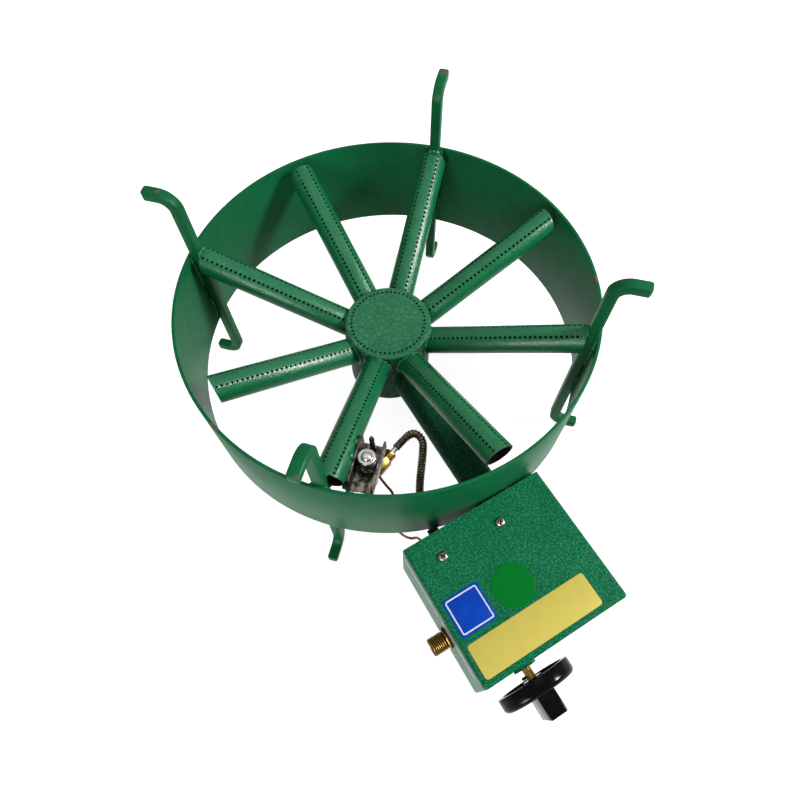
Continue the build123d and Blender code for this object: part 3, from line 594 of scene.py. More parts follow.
class Bench:
    """Blender's modelling tools, set up so that each acts on one piece alone."""

    MERGE_GAP = 0.005 * MM
    FLAT_ANGLE = math.radians(0.6)
    FIRST_SIDE = Vector((0.31, 0.52, 0.79))

    @staticmethod
    def begin(add: Callable, name: str, sides: Sequence[float] = (1, 1, 1), **settings: object) -> Piece:
        """Adds one primitive, with nothing else selected, at its size and place.

        Args:
            add: The operator that adds it.
            name: The piece's name.
            sides: Its size as a share of the primitive's.
            settings: What the operator is told.

        Returns:
            The piece.
        """
        bpy.ops.object.select_all(action="DESELECT")
        add(**settings)
        piece = bpy.context.active_object
        piece.name = name
        piece.data.name = name
        piece.scale = sides
        bpy.ops.object.transform_apply(location=True, rotation=True, scale=True)
        return piece

    @staticmethod
    def link(name: str, data: bpy.types.ID) -> Piece:
        """Puts given data into the scene as a new object.

        Args:
            name: The object's name.
            data: Its mesh, curve, lamp or camera.

        Returns:
            The object.
        """
        piece = bpy.data.objects.new(name, data)
        bpy.context.scene.collection.objects.link(piece)
        return piece

    @staticmethod
    def hold(*pieces: Piece) -> None:
        """Selects given pieces alone and makes the first one active.

        Args:
            pieces: The pieces.
        """
        bpy.ops.object.select_all(action="DESELECT")
        for piece in pieces:
            piece.select_set(True)
        bpy.context.view_layer.objects.active = pieces[0]

    @staticmethod
    @contextmanager
    def editing(piece: Piece) -> Iterator[None]:
        """Opens one piece for editing, with all of it selected.

        Args:
            piece: The piece.

        Yields:
            Nothing; edit mode lasts as long as the block.
        """
        Bench.hold(piece)
        bpy.ops.object.mode_set(mode="EDIT")
        bpy.ops.mesh.select_all(action="SELECT")
        yield
        bpy.ops.object.mode_set(mode="OBJECT")

    @staticmethod
    def clean(piece: Piece) -> None:
        """Merges doubled points and turns all faces outward.

        Args:
            piece: The piece.
        """
        with Bench.editing(piece):
            bpy.ops.mesh.remove_doubles(threshold=Bench.MERGE_GAP)
            bpy.ops.mesh.normals_make_consistent(inside=False)

    @staticmethod
    def modify(piece: Piece, kind: str, **settings: object) -> None:
        """Adds one modifier and applies it.

        Args:
            piece: The piece.
            kind: The modifier's type.
            settings: What it is told.
        """
        Bench.hold(piece)
        modifier = piece.modifiers.new(kind.title(), kind)
        for key, value in settings.items():
            setattr(modifier, key, value)
        bpy.ops.object.modifier_apply(modifier=modifier.name)

    @staticmethod
    def cut(piece: Piece, tool: Piece, **settings: object) -> None:
        """Cuts one piece away from another and takes the tool away."""
        Bench.modify(piece, "BOOLEAN", operation="DIFFERENCE", solver="EXACT", object=tool, **settings)
        bpy.data.objects.remove(tool)

    @staticmethod
    def soften(piece: Piece, width: float, segments: int = 2, angle: float = 40) -> None:
        """Rounds every edge that is sharper than an angle, over a width in millimetres."""
        limit = {"limit_method": "ANGLE", "angle_limit": math.radians(angle)}
        Bench.modify(piece, "BEVEL", width=width * MM, segments=segments, **limit)

    @staticmethod
    def turned(name: str, profile: Profile, sides: int, place: Matrix, closed: bool = False) -> Piece:
        """Turns a piece about its own axis by extruding and resizing a circle.

        Args:
            name: The piece's name.
            profile: Height and radius at each step, in millimetres.
            sides: Points round the circle; 6 gives a hexagon with that corner radius.
            place: The frame it stands in.
            closed: Whether the last step meets the first, as in a tube's wall.

        Returns:
            The piece, placed.
        """
        height, radius = profile[0]
        circle = {"vertices": sides, "radius": radius * MM, "location": (0, 0, height * MM)}
        circle["fill_type"] = "NOTHING" if closed else "NGON"
        piece = Bench.begin(bpy.ops.mesh.primitive_circle_add, name, **circle)
        with Bench.editing(piece):
            for new_height, new_radius in profile[1:]:
                rise = (0, 0, (new_height - height) * MM)
                grow = new_radius / radius
                bpy.ops.mesh.extrude_region_move(TRANSFORM_OT_translate={"value": rise})
                bpy.ops.transform.resize(value=(grow, grow, 1), center_override=(0, 0, new_height * MM))
                height, radius = new_height, new_radius
        Bench.clean(piece)
        piece.data.transform(place)
        return piece

    @staticmethod
    def block(name: str, low: Sequence[float], high: Sequence[float], place: Matrix) -> Piece:
        """A box between two corners in millimetres of a local frame.

        Args:
            name: The piece's name.
            low: The lowest corner.
            high: The highest corner.
            place: The local frame.

        Returns:
            The box, placed.
        """
        centre = [(a + b) / 2 * MM for a, b in zip(low, high)]
        sides = [(b - a) * MM for a, b in zip(low, high)]
        piece = Bench.begin(bpy.ops.mesh.primitive_cube_add, name, sides, size=1, location=centre)
        piece.data.transform(place)
        return piece

    @staticmethod
    def join(pieces: Sequence[Piece], name: str) -> Piece:
        """Joins pieces into one object.

        Args:
            pieces: The pieces.
            name: The new name.

        Returns:
            The joined object.
        """
        Bench.hold(*pieces)
        bpy.ops.object.join()
        pieces[0].name = name
        pieces[0].data.name = name
        return pieces[0]

    @staticmethod
    def copy(piece: Piece, name: str, move: Matrix) -> Piece:
        """A copy with its own mesh, moved.

        Args:
            piece: What is copied.
            name: The copy's name.
            move: How it is moved.

        Returns:
            The copy.
        """
        mesh = piece.data.copy()
        mesh.name = name
        mesh.transform(move)
        return Bench.link(name, mesh)

    @staticmethod
    def copies(piece: Piece, name: str, moves: Sequence[Matrix]) -> Piece:
        """Copies of a piece at several places, joined; the piece itself is taken away.

        Args:
            piece: What is copied.
            name: The name of the whole.
            moves: How each copy is moved.

        Returns:
            The joined copies.
        """
        twins = [Bench.copy(piece, name, move) for move in moves]
        bpy.data.objects.remove(piece)
        return Bench.join(twins, name)

    @staticmethod
    def from_node(node: str, name: str) -> Piece:
        """A copy of a CAD node whose flat faces are whole again.

        Args:
            node: The node's name.
            name: The copy's name.

        Returns:
            The copy.
        """
        piece = Bench.copy(bpy.data.objects[node], name, HERE)
        piece.data.materials.clear()
        Bench.clean(piece)
        with Bench.editing(piece):
            bpy.ops.mesh.customdata_custom_splitnormals_clear()
            bpy.ops.mesh.dissolve_limited(angle_limit=Bench.FLAT_ANGLE)
        return piece

    @staticmethod
    def sweep(
        name: str, line: Sequence[Vector], radii: Sequence[float], sides: int, closed: bool = False
    ) -> Piece:
        """A round body along a line whose radius changes from point to point.

        Args:
            name: The piece's name.
            line: Points in metres.
            radii: A radius in millimetres for each point.
            sides: Points round the body.
            closed: Whether the line ends where it starts.

        Returns:
            The piece.
        """
        count = len(line)
        points: list[Vector] = []
        side = Bench.FIRST_SIDE
        for index, (centre, radius) in enumerate(zip(line, radii)):
            after = line[(index + 1) % count] if closed else line[min(index + 1, count - 1)]
            before = line[index - 1] if closed else line[max(index - 1, 0)]
            ahead = (after - before).normalized()
            side = (side - ahead * side.dot(ahead)).normalized()
            across = ahead.cross(side)
            for step in range(sides):
                angle = math.tau * step / sides
                points.append(centre + (side * math.cos(angle) + across * math.sin(angle)) * (radius * MM))
        faces: list[tuple[int, ...]] = []
        for ring in range(count if closed else count - 1):
            here, there = ring * sides, (ring + 1) % count * sides
            for step in range(sides):
                beside = (step + 1) % sides
                faces.append((here + step, here + beside, there + beside, there + step))
        if not closed:
            faces.append(tuple(range(sides))[::-1])
            faces.append(tuple(range((count - 1) * sides, count * sides)))
        mesh = bpy.data.meshes.new(name)
        mesh.from_pydata(points, [], faces)
        piece = Bench.link(name, mesh)
        Bench.clean(piece)
        return piece

    @staticmethod
    def band(piece: Piece, place: Matrix, low: float, high: float, *finishes: Finish) -> None:
        """Gives a piece two finishes, the second where its radius from an axis is between two.

        Args:
            piece: The piece.
            place: The frame whose +Z is the axis.
            low: The smaller radius in millimetres.
            high: The larger one.
            finishes: The two finishes.
        """
        for finish in finishes:
            piece.data.materials.append(finish.shader)
        inverse = place.inverted()
        for face in piece.data.polygons:
            local = inverse @ face.center
            face.material_index = int(low < math.hypot(local.x, local.y) / MM < high)

    @staticmethod
    def finish(piece: Piece, finish: Finish, *nodes: str, body: str = BODY, angle: float = 35) -> None:
        """Shades a piece, gives it its finish and its body, and hides the CAD nodes that it stands for.

        Args:
            piece: The piece.
            finish: Its finish, unless it already has one.
            nodes: The CAD nodes that it replaces.
            body: The body that it rides on.
            angle: The sharpest edge in degrees that is shaded smooth.
        """
        Bench.hold(piece)
        bpy.ops.object.shade_smooth_by_angle(angle=math.radians(angle))
        if not piece.data.materials:
            piece.data.materials.append(finish.shader)
        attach(piece, body)
        if nodes:
            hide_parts(*nodes)
        LOG.info("%s: %d faces", piece.name, len(piece.data.polygons))


class Route:
    """A smooth line through the air, read from a NURBS spline."""

    RESOLUTION = 40
    ORDER = 3

    def __init__(self, name: str, points: Sequence[Vector]) -> None:
        """Draws the spline and reads its points.

        Args:
            name: The route's name.
            points: The spline's control points in metres.
        """
        curve = bpy.data.curves.new(name, "CURVE")
        curve.dimensions = "3D"
        curve.resolution_u = self.RESOLUTION
        spline = curve.splines.new("NURBS")
        spline.points.add(len(points) - 1)
        for knot, point in zip(spline.points, points):
            knot.co = (*point, 1.0)
        spline.order_u = self.ORDER
        spline.use_endpoint_u = True
        carrier = Bench.link(name, curve)
        graph = bpy.context.evaluated_depsgraph_get()
        mesh = bpy.data.meshes.new_from_object(carrier.evaluated_get(graph))
        self.line = [vertex.co.copy() for vertex in mesh.vertices]
        bpy.data.meshes.remove(mesh)
        bpy.data.objects.remove(carrier)
        self.reach = [0.0]
        for before, after in zip(self.line, self.line[1:]):
            self.reach.append(self.reach[-1] + (after - before).length)
        LOG.info("%s: %.4f m", name, self.length)

    @property
    def length(self) -> float:
        """The line's whole length."""
        return self.reach[-1]

    def at(self, distance: float) -> Vector:
        """The point at a distance along the line.

        Args:
            distance: The distance in metres.

        Returns:
            The point.
        """
        index = 1
        while index < len(self.reach) - 1 and self.reach[index] < distance:
            index += 1
        run = self.reach[index] - self.reach[index - 1]
        share = (distance - self.reach[index - 1]) / run if run else 0.0
        return self.line[index - 1].lerp(self.line[index], min(max(share, 0.0), 1.0))


@dataclass
class TubeStar:
    """Eight drilled tubes that rise from the hub, each with two rows of ports along its crest."""

    datum: Datum
    radius: float = 13.45
    wall: float = 2.0
    sides: int = 96
    edge: float = 0.3
    rise: float = 21.6
    root_z: float = 95.1
    root_start: float = 30.0
    drum_r: float = 43.0
    drum_sides: int = 128
    drum_heights: tuple[float, float] = (20, 220)
    waste: tuple[Point, Point] = ((0, -40, 100), (90, 40, 280))
    port_r: float = 1.3
    port_sides: int = 14
    port_under: float = 4.0
    port_over: float = 2.0
    port_pitch: float = 4.8
    port_lean: float = 27.5
    root_margin: float = 2.8
    end_margin: float = 3.2
    sheen_edge: float = 12.0
    bore_margin: float = 0.3
    bead_steps: int = 64
    bead_sides: int = 10
    bead_r: float = 1.5
    bead_waves: tuple[tuple[float, int], ...] = ((0.45, 11), (0.3, 5))
    long_turns: tuple[float, ...] = (-0.5, -0.5, 0.0, 0.3)
    long_reaches: tuple[float, ...] = (186.53,) * 4
    short_turns: tuple[float, ...] = (0.0, -0.8, 1.5, 0.4)
    short_reaches: tuple[float, ...] = (186.0, 186.0, 180.0, 186.0)

    @property
    def slope(self) -> float:
        """The rise in radians."""
        return math.radians(self.rise)

    def line(self) -> Matrix:
        """The frame of the tube that points along +X: +Z along the tube, +X to its crest."""
        axis = (math.cos(self.slope), 0, math.sin(self.slope))
        return self.datum.frame((0, 0, self.root_z), axis, UP)

    def blank(self, name: str, reach: float) -> Piece:
        """One tube along +X before it is drilled, coped on the drum and cut plumb outside.

        Args:
            name: The piece's name.
            reach: How far out it ends.

        Returns:
            The tube.
        """
        near, far = self.root_start, (reach + 2 * self.radius) / math.cos(self.slope)
        inner, outer = self.radius - self.wall, self.radius
        profile = [(near, inner), (near, outer), (far, outer), (far, inner), (near, inner)]
        tube = Bench.turned(name, profile, self.sides, self.line(), closed=True)
        level = self.datum.level()
        drum = [(height, self.drum_r) for height in self.drum_heights]
        Bench.cut(tube, Bench.turned("cope", drum, self.drum_sides, level))
        corners = [(reach + x, y, z) for x, y, z in self.waste]
        Bench.cut(tube, Bench.block("waste", *corners, level))
        Bench.soften(tube, self.edge, angle=50)
        return tube

    def drilled(self, name: str, reach: float) -> Piece:
        """One tube along +X with round ports cut through its wall, painted dark inside as shade.

        Args:
            name: The piece's name.
            reach: How far out it ends.

        Returns:
            The tube.
        """
        tube = self.blank(name, reach)
        lift = self.radius * math.cos(math.radians(self.port_lean)) * math.tan(self.slope)
        first = self.drum_r / math.cos(self.slope) + lift + self.root_margin
        last = reach / math.cos(self.slope) + lift - self.end_margin
        steps = round((last - first) / self.port_pitch)
        aim = Matrix.Rotation(math.radians(QUARTER_TURN), 4, "Y")
        bit = [(self.radius - self.port_under, self.port_r), (self.radius + self.port_over, self.port_r)]
        drill = Bench.turned("drill", bit, self.port_sides, HERE)
        moves: list[Matrix] = []
        for side in (-1, 1):
            lean = Matrix.Rotation(math.radians(self.port_lean) * side, 4, "Z")
            for step in range(steps + 1):
                along = first + (last - first) * step / steps
                shift = Matrix.Translation(Vector((0, 0, along * MM)))
                moves.append(self.line() @ lean @ shift @ aim)
        Bench.cut(tube, Bench.copies(drill, "drills", moves))
        self.tint(tube)
        return tube

    def tint(self, tube: Piece) -> None:
        """Marks the band between the ports for a painted sheen, and the bore for painted shade.

        Args:
            tube: The drilled tube.
        """
        inverse = self.line().inverted()
        # The crest value marks where the painted sheen goes.
        crest = tube.data.attributes.new("crest", "FLOAT", "POINT")
        for vertex in tube.data.vertices:
            local = inverse @ vertex.co
            angle = abs(math.degrees(math.atan2(local.y, local.x)))
            share = (self.port_lean + self.sheen_edge / 2 - angle) / self.sheen_edge
            crest.data[vertex.index].value = min(max(share, 0.0), 1.0)
        bore = self.radius - self.wall + self.bore_margin
        # The bore takes painted shade, so the ports look dark.
        Bench.band(tube, self.line(), 0, bore, Finish.TUBE, Finish.SOOT)

    def saddle(self) -> Piece:
        """The rippled weld where the tube along +X meets the drum.

        Returns:
            The bead.
        """
        points: list[Vector] = []
        radii: list[float] = []
        for step in range(self.bead_steps):
            turn = math.tau * step / self.bead_steps
            aside = self.radius * math.sin(turn)
            crest = self.radius * math.cos(turn)
            out = math.sqrt(self.drum_r**2 - aside**2)
            along = (out + crest * math.sin(self.slope)) / math.cos(self.slope)
            up = self.root_z + along * math.sin(self.slope) + crest * math.cos(self.slope)
            points.append(self.datum.spot(out, aside, up))
            waves = sum(size * math.sin(count * turn) for size, count in self.bead_waves)
            radii.append(self.bead_r + waves)
        return Bench.sweep("saddle_bead", points, radii, self.bead_sides, closed=True)

    def build(self) -> None:
        """Builds the tubes and their welds on the drum."""
        bead = self.saddle()
        models: dict[float, Piece] = {}
        beads: list[Piece] = []
        kinds = (
            ("long_tube", EIGHTH_TURN, self.long_turns, self.long_reaches),
            ("short_tube", 0, self.short_turns, self.short_reaches),
        )
        for name, azimuth, turns, reaches in kinds:
            for index, (turn, reach) in enumerate(zip(turns, reaches)):
                if reach not in models:
                    models[reach] = self.drilled(f"{name}_model", reach)
                place = self.datum.turned(azimuth + QUARTER_TURN * index + turn)
                tube = Bench.copy(models[reach], f"drilled_{name}_{index + 1}", place)
                Bench.finish(tube, Finish.TUBE, f"{name}_{index + 1}", angle=30)
                beads.append(Bench.copy(bead, "saddle_copy", place))
        for model in (bead, *models.values()):
            bpy.data.objects.remove(model)
        Bench.finish(Bench.join(beads, "tube_welds"), Finish.TUBE)


@dataclass
class HubCap:
    """The hub's round cap with one circle of ports near its rim."""

    datum: Datum
    radius: float = 43.0
    sides: int = 128
    low_z: float = 127.4
    top_z: float = 130.4
    edge_r: float = 2.0
    edge_steps: int = 6
    port_circle_r: float = 37.0
    port_count: int = 52
    port_r: float = 1.3
    port_sides: int = 14
    port_over: float = 2.0

    def build(self) -> None:
        """Turns the cap and drills it."""
        profile = [(self.low_z, self.radius)]
        for step in range(self.edge_steps + 1):
            turn = math.radians(QUARTER_TURN / self.edge_steps * step)
            height = self.top_z - self.edge_r * (1 - math.sin(turn))
            profile.append((height, self.radius - self.edge_r * (1 - math.cos(turn))))
        cap = Bench.turned("drilled_cap", profile, self.sides, self.datum.level())
        bit = [(self.low_z - self.port_over, self.port_r), (self.top_z + self.port_over, self.port_r)]
        drill = Bench.turned("port", bit, self.port_sides, self.datum.level(self.port_circle_r))
        moves = [self.datum.turned(FULL_TURN / self.port_count * n) for n in range(self.port_count)]
        Bench.cut(cap, Bench.copies(drill, "ports", moves))
        Bench.finish(cap, Finish.CAP, "hub_cap", angle=30)


@dataclass
class Welds:
    """Lumpy beads that hold the legs to the ring and the long tubes to the legs."""

    datum: Datum
    turns: tuple[float, ...] = (-0.6, -0.1, -1.2, 0.2)
    beside: float = 5.6
    ring_r: float = 196.4
    seams: tuple[tuple[float, float, float], ...] = ((136, 179.4, 2.0), (80, 112, 1.9))
    tube_r: float = 13.45
    tube_end_r: float = 186.6
    tube_end_z: float = 168.97
    tube_rise: float = 21.6
    tube_seams: tuple[tuple[int, float], ...] = ((1, 2.5), (-1, 2.2))
    asides: tuple[float, ...] = (-6.5, -4, -2, 0, 2, 4, 6.5)
    step: float = 0.8
    sides: int = 10
    ripple: float = 0.18
    ripple_rate: float = 1.9
    swell: float = 0.12
    swell_rate: float = 9.0
    tip_share: float = 0.004
    taper_steps: float = 3.0
    leg_phase: float = 1.7
    run_phase: float = 2.3
    dots: tuple[Point, ...] = ((-94.5, -111.0, 159.9), (-105.0, -122.1, 165.0))
    dot_normal: Point = (0.62, -0.62, 0.47)
    dot_sides: int = 32
    dot: Profile = ((-1, 3.6), (0.4, 3.5), (1.2, 3.1), (1.9, 2.3), (2.3, 1.2), (2.4, 0.3))

    def bead(self, name: str, path: Sequence[Vector], size: float, phase: float) -> Piece:
        """One bead from point to point with a rippled, tapering body.

        Args:
            name: The piece's name.
            path: Its corners in metres.
            size: Its radius in millimetres.
            phase: Where its ripple starts, in radians.

        Returns:
            The bead.
        """
        line: list[Vector] = []
        for start, end in zip(path, path[1:]):
            count = max(int((end - start).length / (self.step * MM)), 2)
            line += [start.lerp(end, step / count) for step in range(count)]
        line.append(path[-1])
        steps = len(line) - 1
        radii: list[float] = []
        for step in range(steps + 1):
            share = step / steps
            ripple = self.ripple * math.sin(step * self.ripple_rate + phase)
            swell = self.swell * math.sin(share * self.swell_rate + phase * 2)
            from_end = max(min(share, 1 - share), self.tip_share)
            taper = min(1.0, math.sqrt(from_end * steps / self.taper_steps))
            radii.append(size * (1 + ripple + swell) * taper)
        return Bench.sweep(name, line, radii, self.sides)

    def across(self, sign: int) -> list[Point]:
        """The line where a tube's end meets the leg, above (1) or below (-1).

        Args:
            sign: 1 or -1.

        Returns:
            Its points in millimetres, for a leg along +X.
        """
        tall = 1 / math.cos(math.radians(self.tube_rise))
        points: list[Point] = []
        for aside in self.asides:
            rise = math.sqrt(self.tube_r**2 - aside**2) * tall
            points.append((self.tube_end_r, aside, self.tube_end_z + sign * rise))
        return points

    def build(self) -> None:
        """Builds the beads of all four legs and the two dots that hold the pilot's strap."""
        runs = [(self.across(sign), size) for sign, size in self.tube_seams]
        for beside in (-self.beside, self.beside):
            for low, high, size in self.seams:
                runs.append(([(self.ring_r, beside, low), (self.ring_r, beside, high)], size))
        beads: list[Piece] = []
        for index, off in enumerate(self.turns):
            turn = self.datum.turned(EIGHTH_TURN + QUARTER_TURN * index + off)
            for order, (points, size) in enumerate(runs):
                path = [turn @ self.datum.spot(*point) for point in points]
                phase = index * self.leg_phase + order * self.run_phase
                beads.append(self.bead(f"bead_{index}_{order}", path, size, phase))
        Bench.finish(Bench.join(beads, "leg_welds"), Finish.TUBE)
        frames = [self.datum.frame(spot, self.dot_normal, UP) for spot in self.dots]
        domes = [Bench.turned("dot", self.dot, self.dot_sides, frame) for frame in frames]
        Bench.finish(Bench.join(domes, "strap_welds"), Finish.TUBE, angle=60)


@dataclass
class Structure:
    """The wind ring and its legs, copied from the CAD with softened edges."""

    leg_count: int = 4
    leg_edge: float = 1.4
    ring_edge: float = 0.5

    def build(self) -> None:
        """Softens and dresses the ring and the legs."""
        for index in range(1, self.leg_count + 1):
            leg = Bench.from_node(f"leg_{index}", f"bar_leg_{index}")
            Bench.soften(leg, self.leg_edge, segments=3)
            Bench.finish(leg, Finish.RING, f"leg_{index}", angle=30)
        ring = Bench.from_node("wind_ring", "rolled_ring")
        Bench.soften(ring, self.ring_edge)
        Bench.finish(ring, Finish.RING, "wind_ring", angle=30)


@dataclass
class Plates:
    """Blank films on the control box."""

    datum: Datum
    top_z: float = 114.0
    gap: float = 0.02
    lift: float = 0.25
    edge: float = 0.08
    corner_steps: int = 8
    blue: tuple[Corner, Corner, float] = ((-96.6, -289), (-62, -255), 3.2)
    border: tuple[Corner, Corner, float, float] = ((-94.6, -287), (-64, -257), 2.2, 1.3)
    border_lift: float = 0.1
    yellow: tuple[Corner, Corner, float] = ((-97, -323.8), (19, -294.5), 3.0)
    disc_place: Corner = (-37, -274)
    disc_sides: int = 64
    disc: Profile = ((0.02, 18.6), (0.22, 18.6), (0.27, 18.5), (0.27, 17.2), (0.27, 4.0), (0.27, 0.01))

    def film(self, name: str, low: Corner, high: Corner, corner: float, line: float = 0) -> Piece:
        """A thin rounded rectangle on the box's top.

        Args:
            name: The piece's name.
            low: Its lowest x and y.
            high: Its highest x and y.
            corner: Corner radius.
            line: If not 0, only a border line of this width is kept.

        Returns:
            The film.
        """
        centre = self.datum.spot((low[0] + high[0]) / 2, (low[1] + high[1]) / 2, self.top_z + self.gap)
        size = ((high[0] - low[0]) * MM, (high[1] - low[1]) * MM, 1)
        piece = Bench.begin(bpy.ops.mesh.primitive_plane_add, name, size, size=1, location=centre)
        with Bench.editing(piece):
            bpy.ops.mesh.bevel(offset=corner * MM, segments=self.corner_steps, affect="VERTICES")
            if line:
                bpy.ops.mesh.inset(thickness=line * MM)
                bpy.ops.mesh.delete(type="FACE")
                bpy.ops.mesh.select_all(action="SELECT")
            up = (0, 0, self.lift * MM)
            bpy.ops.mesh.extrude_region_move(TRANSFORM_OT_translate={"value": up})
        Bench.clean(piece)
        Bench.soften(piece, self.edge, angle=60)
        return piece

    def build(self) -> None:
        """Builds the films."""
        Bench.finish(self.film("blue_plate", *self.blue), Finish.BLUE)
        border = self.film("blue_plate_border", *self.border)
        border.data.transform(Matrix.Translation(Vector((0, 0, self.border_lift * MM))))
        Bench.finish(border, Finish.WHITE)
        Bench.finish(self.film("yellow_plate", *self.yellow), Finish.YELLOW)
        place = self.datum.level(*self.disc_place, self.top_z)
        Bench.finish(Bench.turned("green_disc", self.disc, self.disc_sides, place), Finish.GREEN_DISC)


@dataclass
class Hose:
    """The pilot's ribbed hose and the thermocouple's lead.

    A rib is a row of places along its pitch, with a radius at each.
    """

    datum: Datum
    pitch: float = 2.6
    hose_sides: int = 20
    rib: Profile = ((0.0, 3.3), (0.22, 3.4), (0.36, 3.92), (0.5, 4.0), (0.64, 3.92), (0.78, 3.4))
    lead_r: float = 1.25
    lead_step: float = 1.2
    lead_sides: int = 14
    hose_points: tuple[Point, ...] = (
        (-59.22, -116.67, 114),
        (-47.0, -112.23, 114),
        (-38.36, -114.09, 122.5),
        (-34.26, -124.42, 121),
        (-39.21, -133.04, 113.5),
        (-57, -155, 82),
        (-60, -170, 54),
        (-60, -211, 54),
    )
    lead_points: tuple[Point, ...] = (
        (-82.77, -118.05, 125.9),
        (-82.77, -118.05, 120),
        (-84.83, -112.18, 110),
        (-85.33, -118.67, 102.5),
        (-83.33, -137.67, 99),
        (-79.33, -147.68, 91),
        (-85, -160, 74),
        (-92, -171, 61),
        (-84, -184, 53.5),
        (-74, -186, 54),
        (-74, -221.7, 54),
        (-58, -232.1, 74),
        (-58, -251.2, 74),
    )

    def build(self) -> None:
        """Builds both along their routes."""
        route = Route("hose_route", [self.datum.spot(*point) for point in self.hose_points])
        count = round(route.length / (self.pitch * MM))
        ribs = [(rib + share, radius) for rib in range(count) for share, radius in self.rib]
        line = [route.at(place * route.length / count) for place, _ in ribs]
        hose = Bench.sweep("ribbed_hose", line, [radius for _, radius in ribs], self.hose_sides)
        Bench.finish(hose, Finish.HOSE, "pilot_hose", angle=60)
        path = Route("lead_route", [self.datum.spot(*point) for point in self.lead_points])
        steps = round(path.length / (self.lead_step * MM))
        track = [path.at(path.length * step / steps) for step in range(steps + 1)]
        lead = Bench.sweep("sheathed_lead", track, [self.lead_r] * len(track), self.lead_sides)
        Bench.finish(lead, Finish.COPPER, "thermocouple_lead", angle=60)


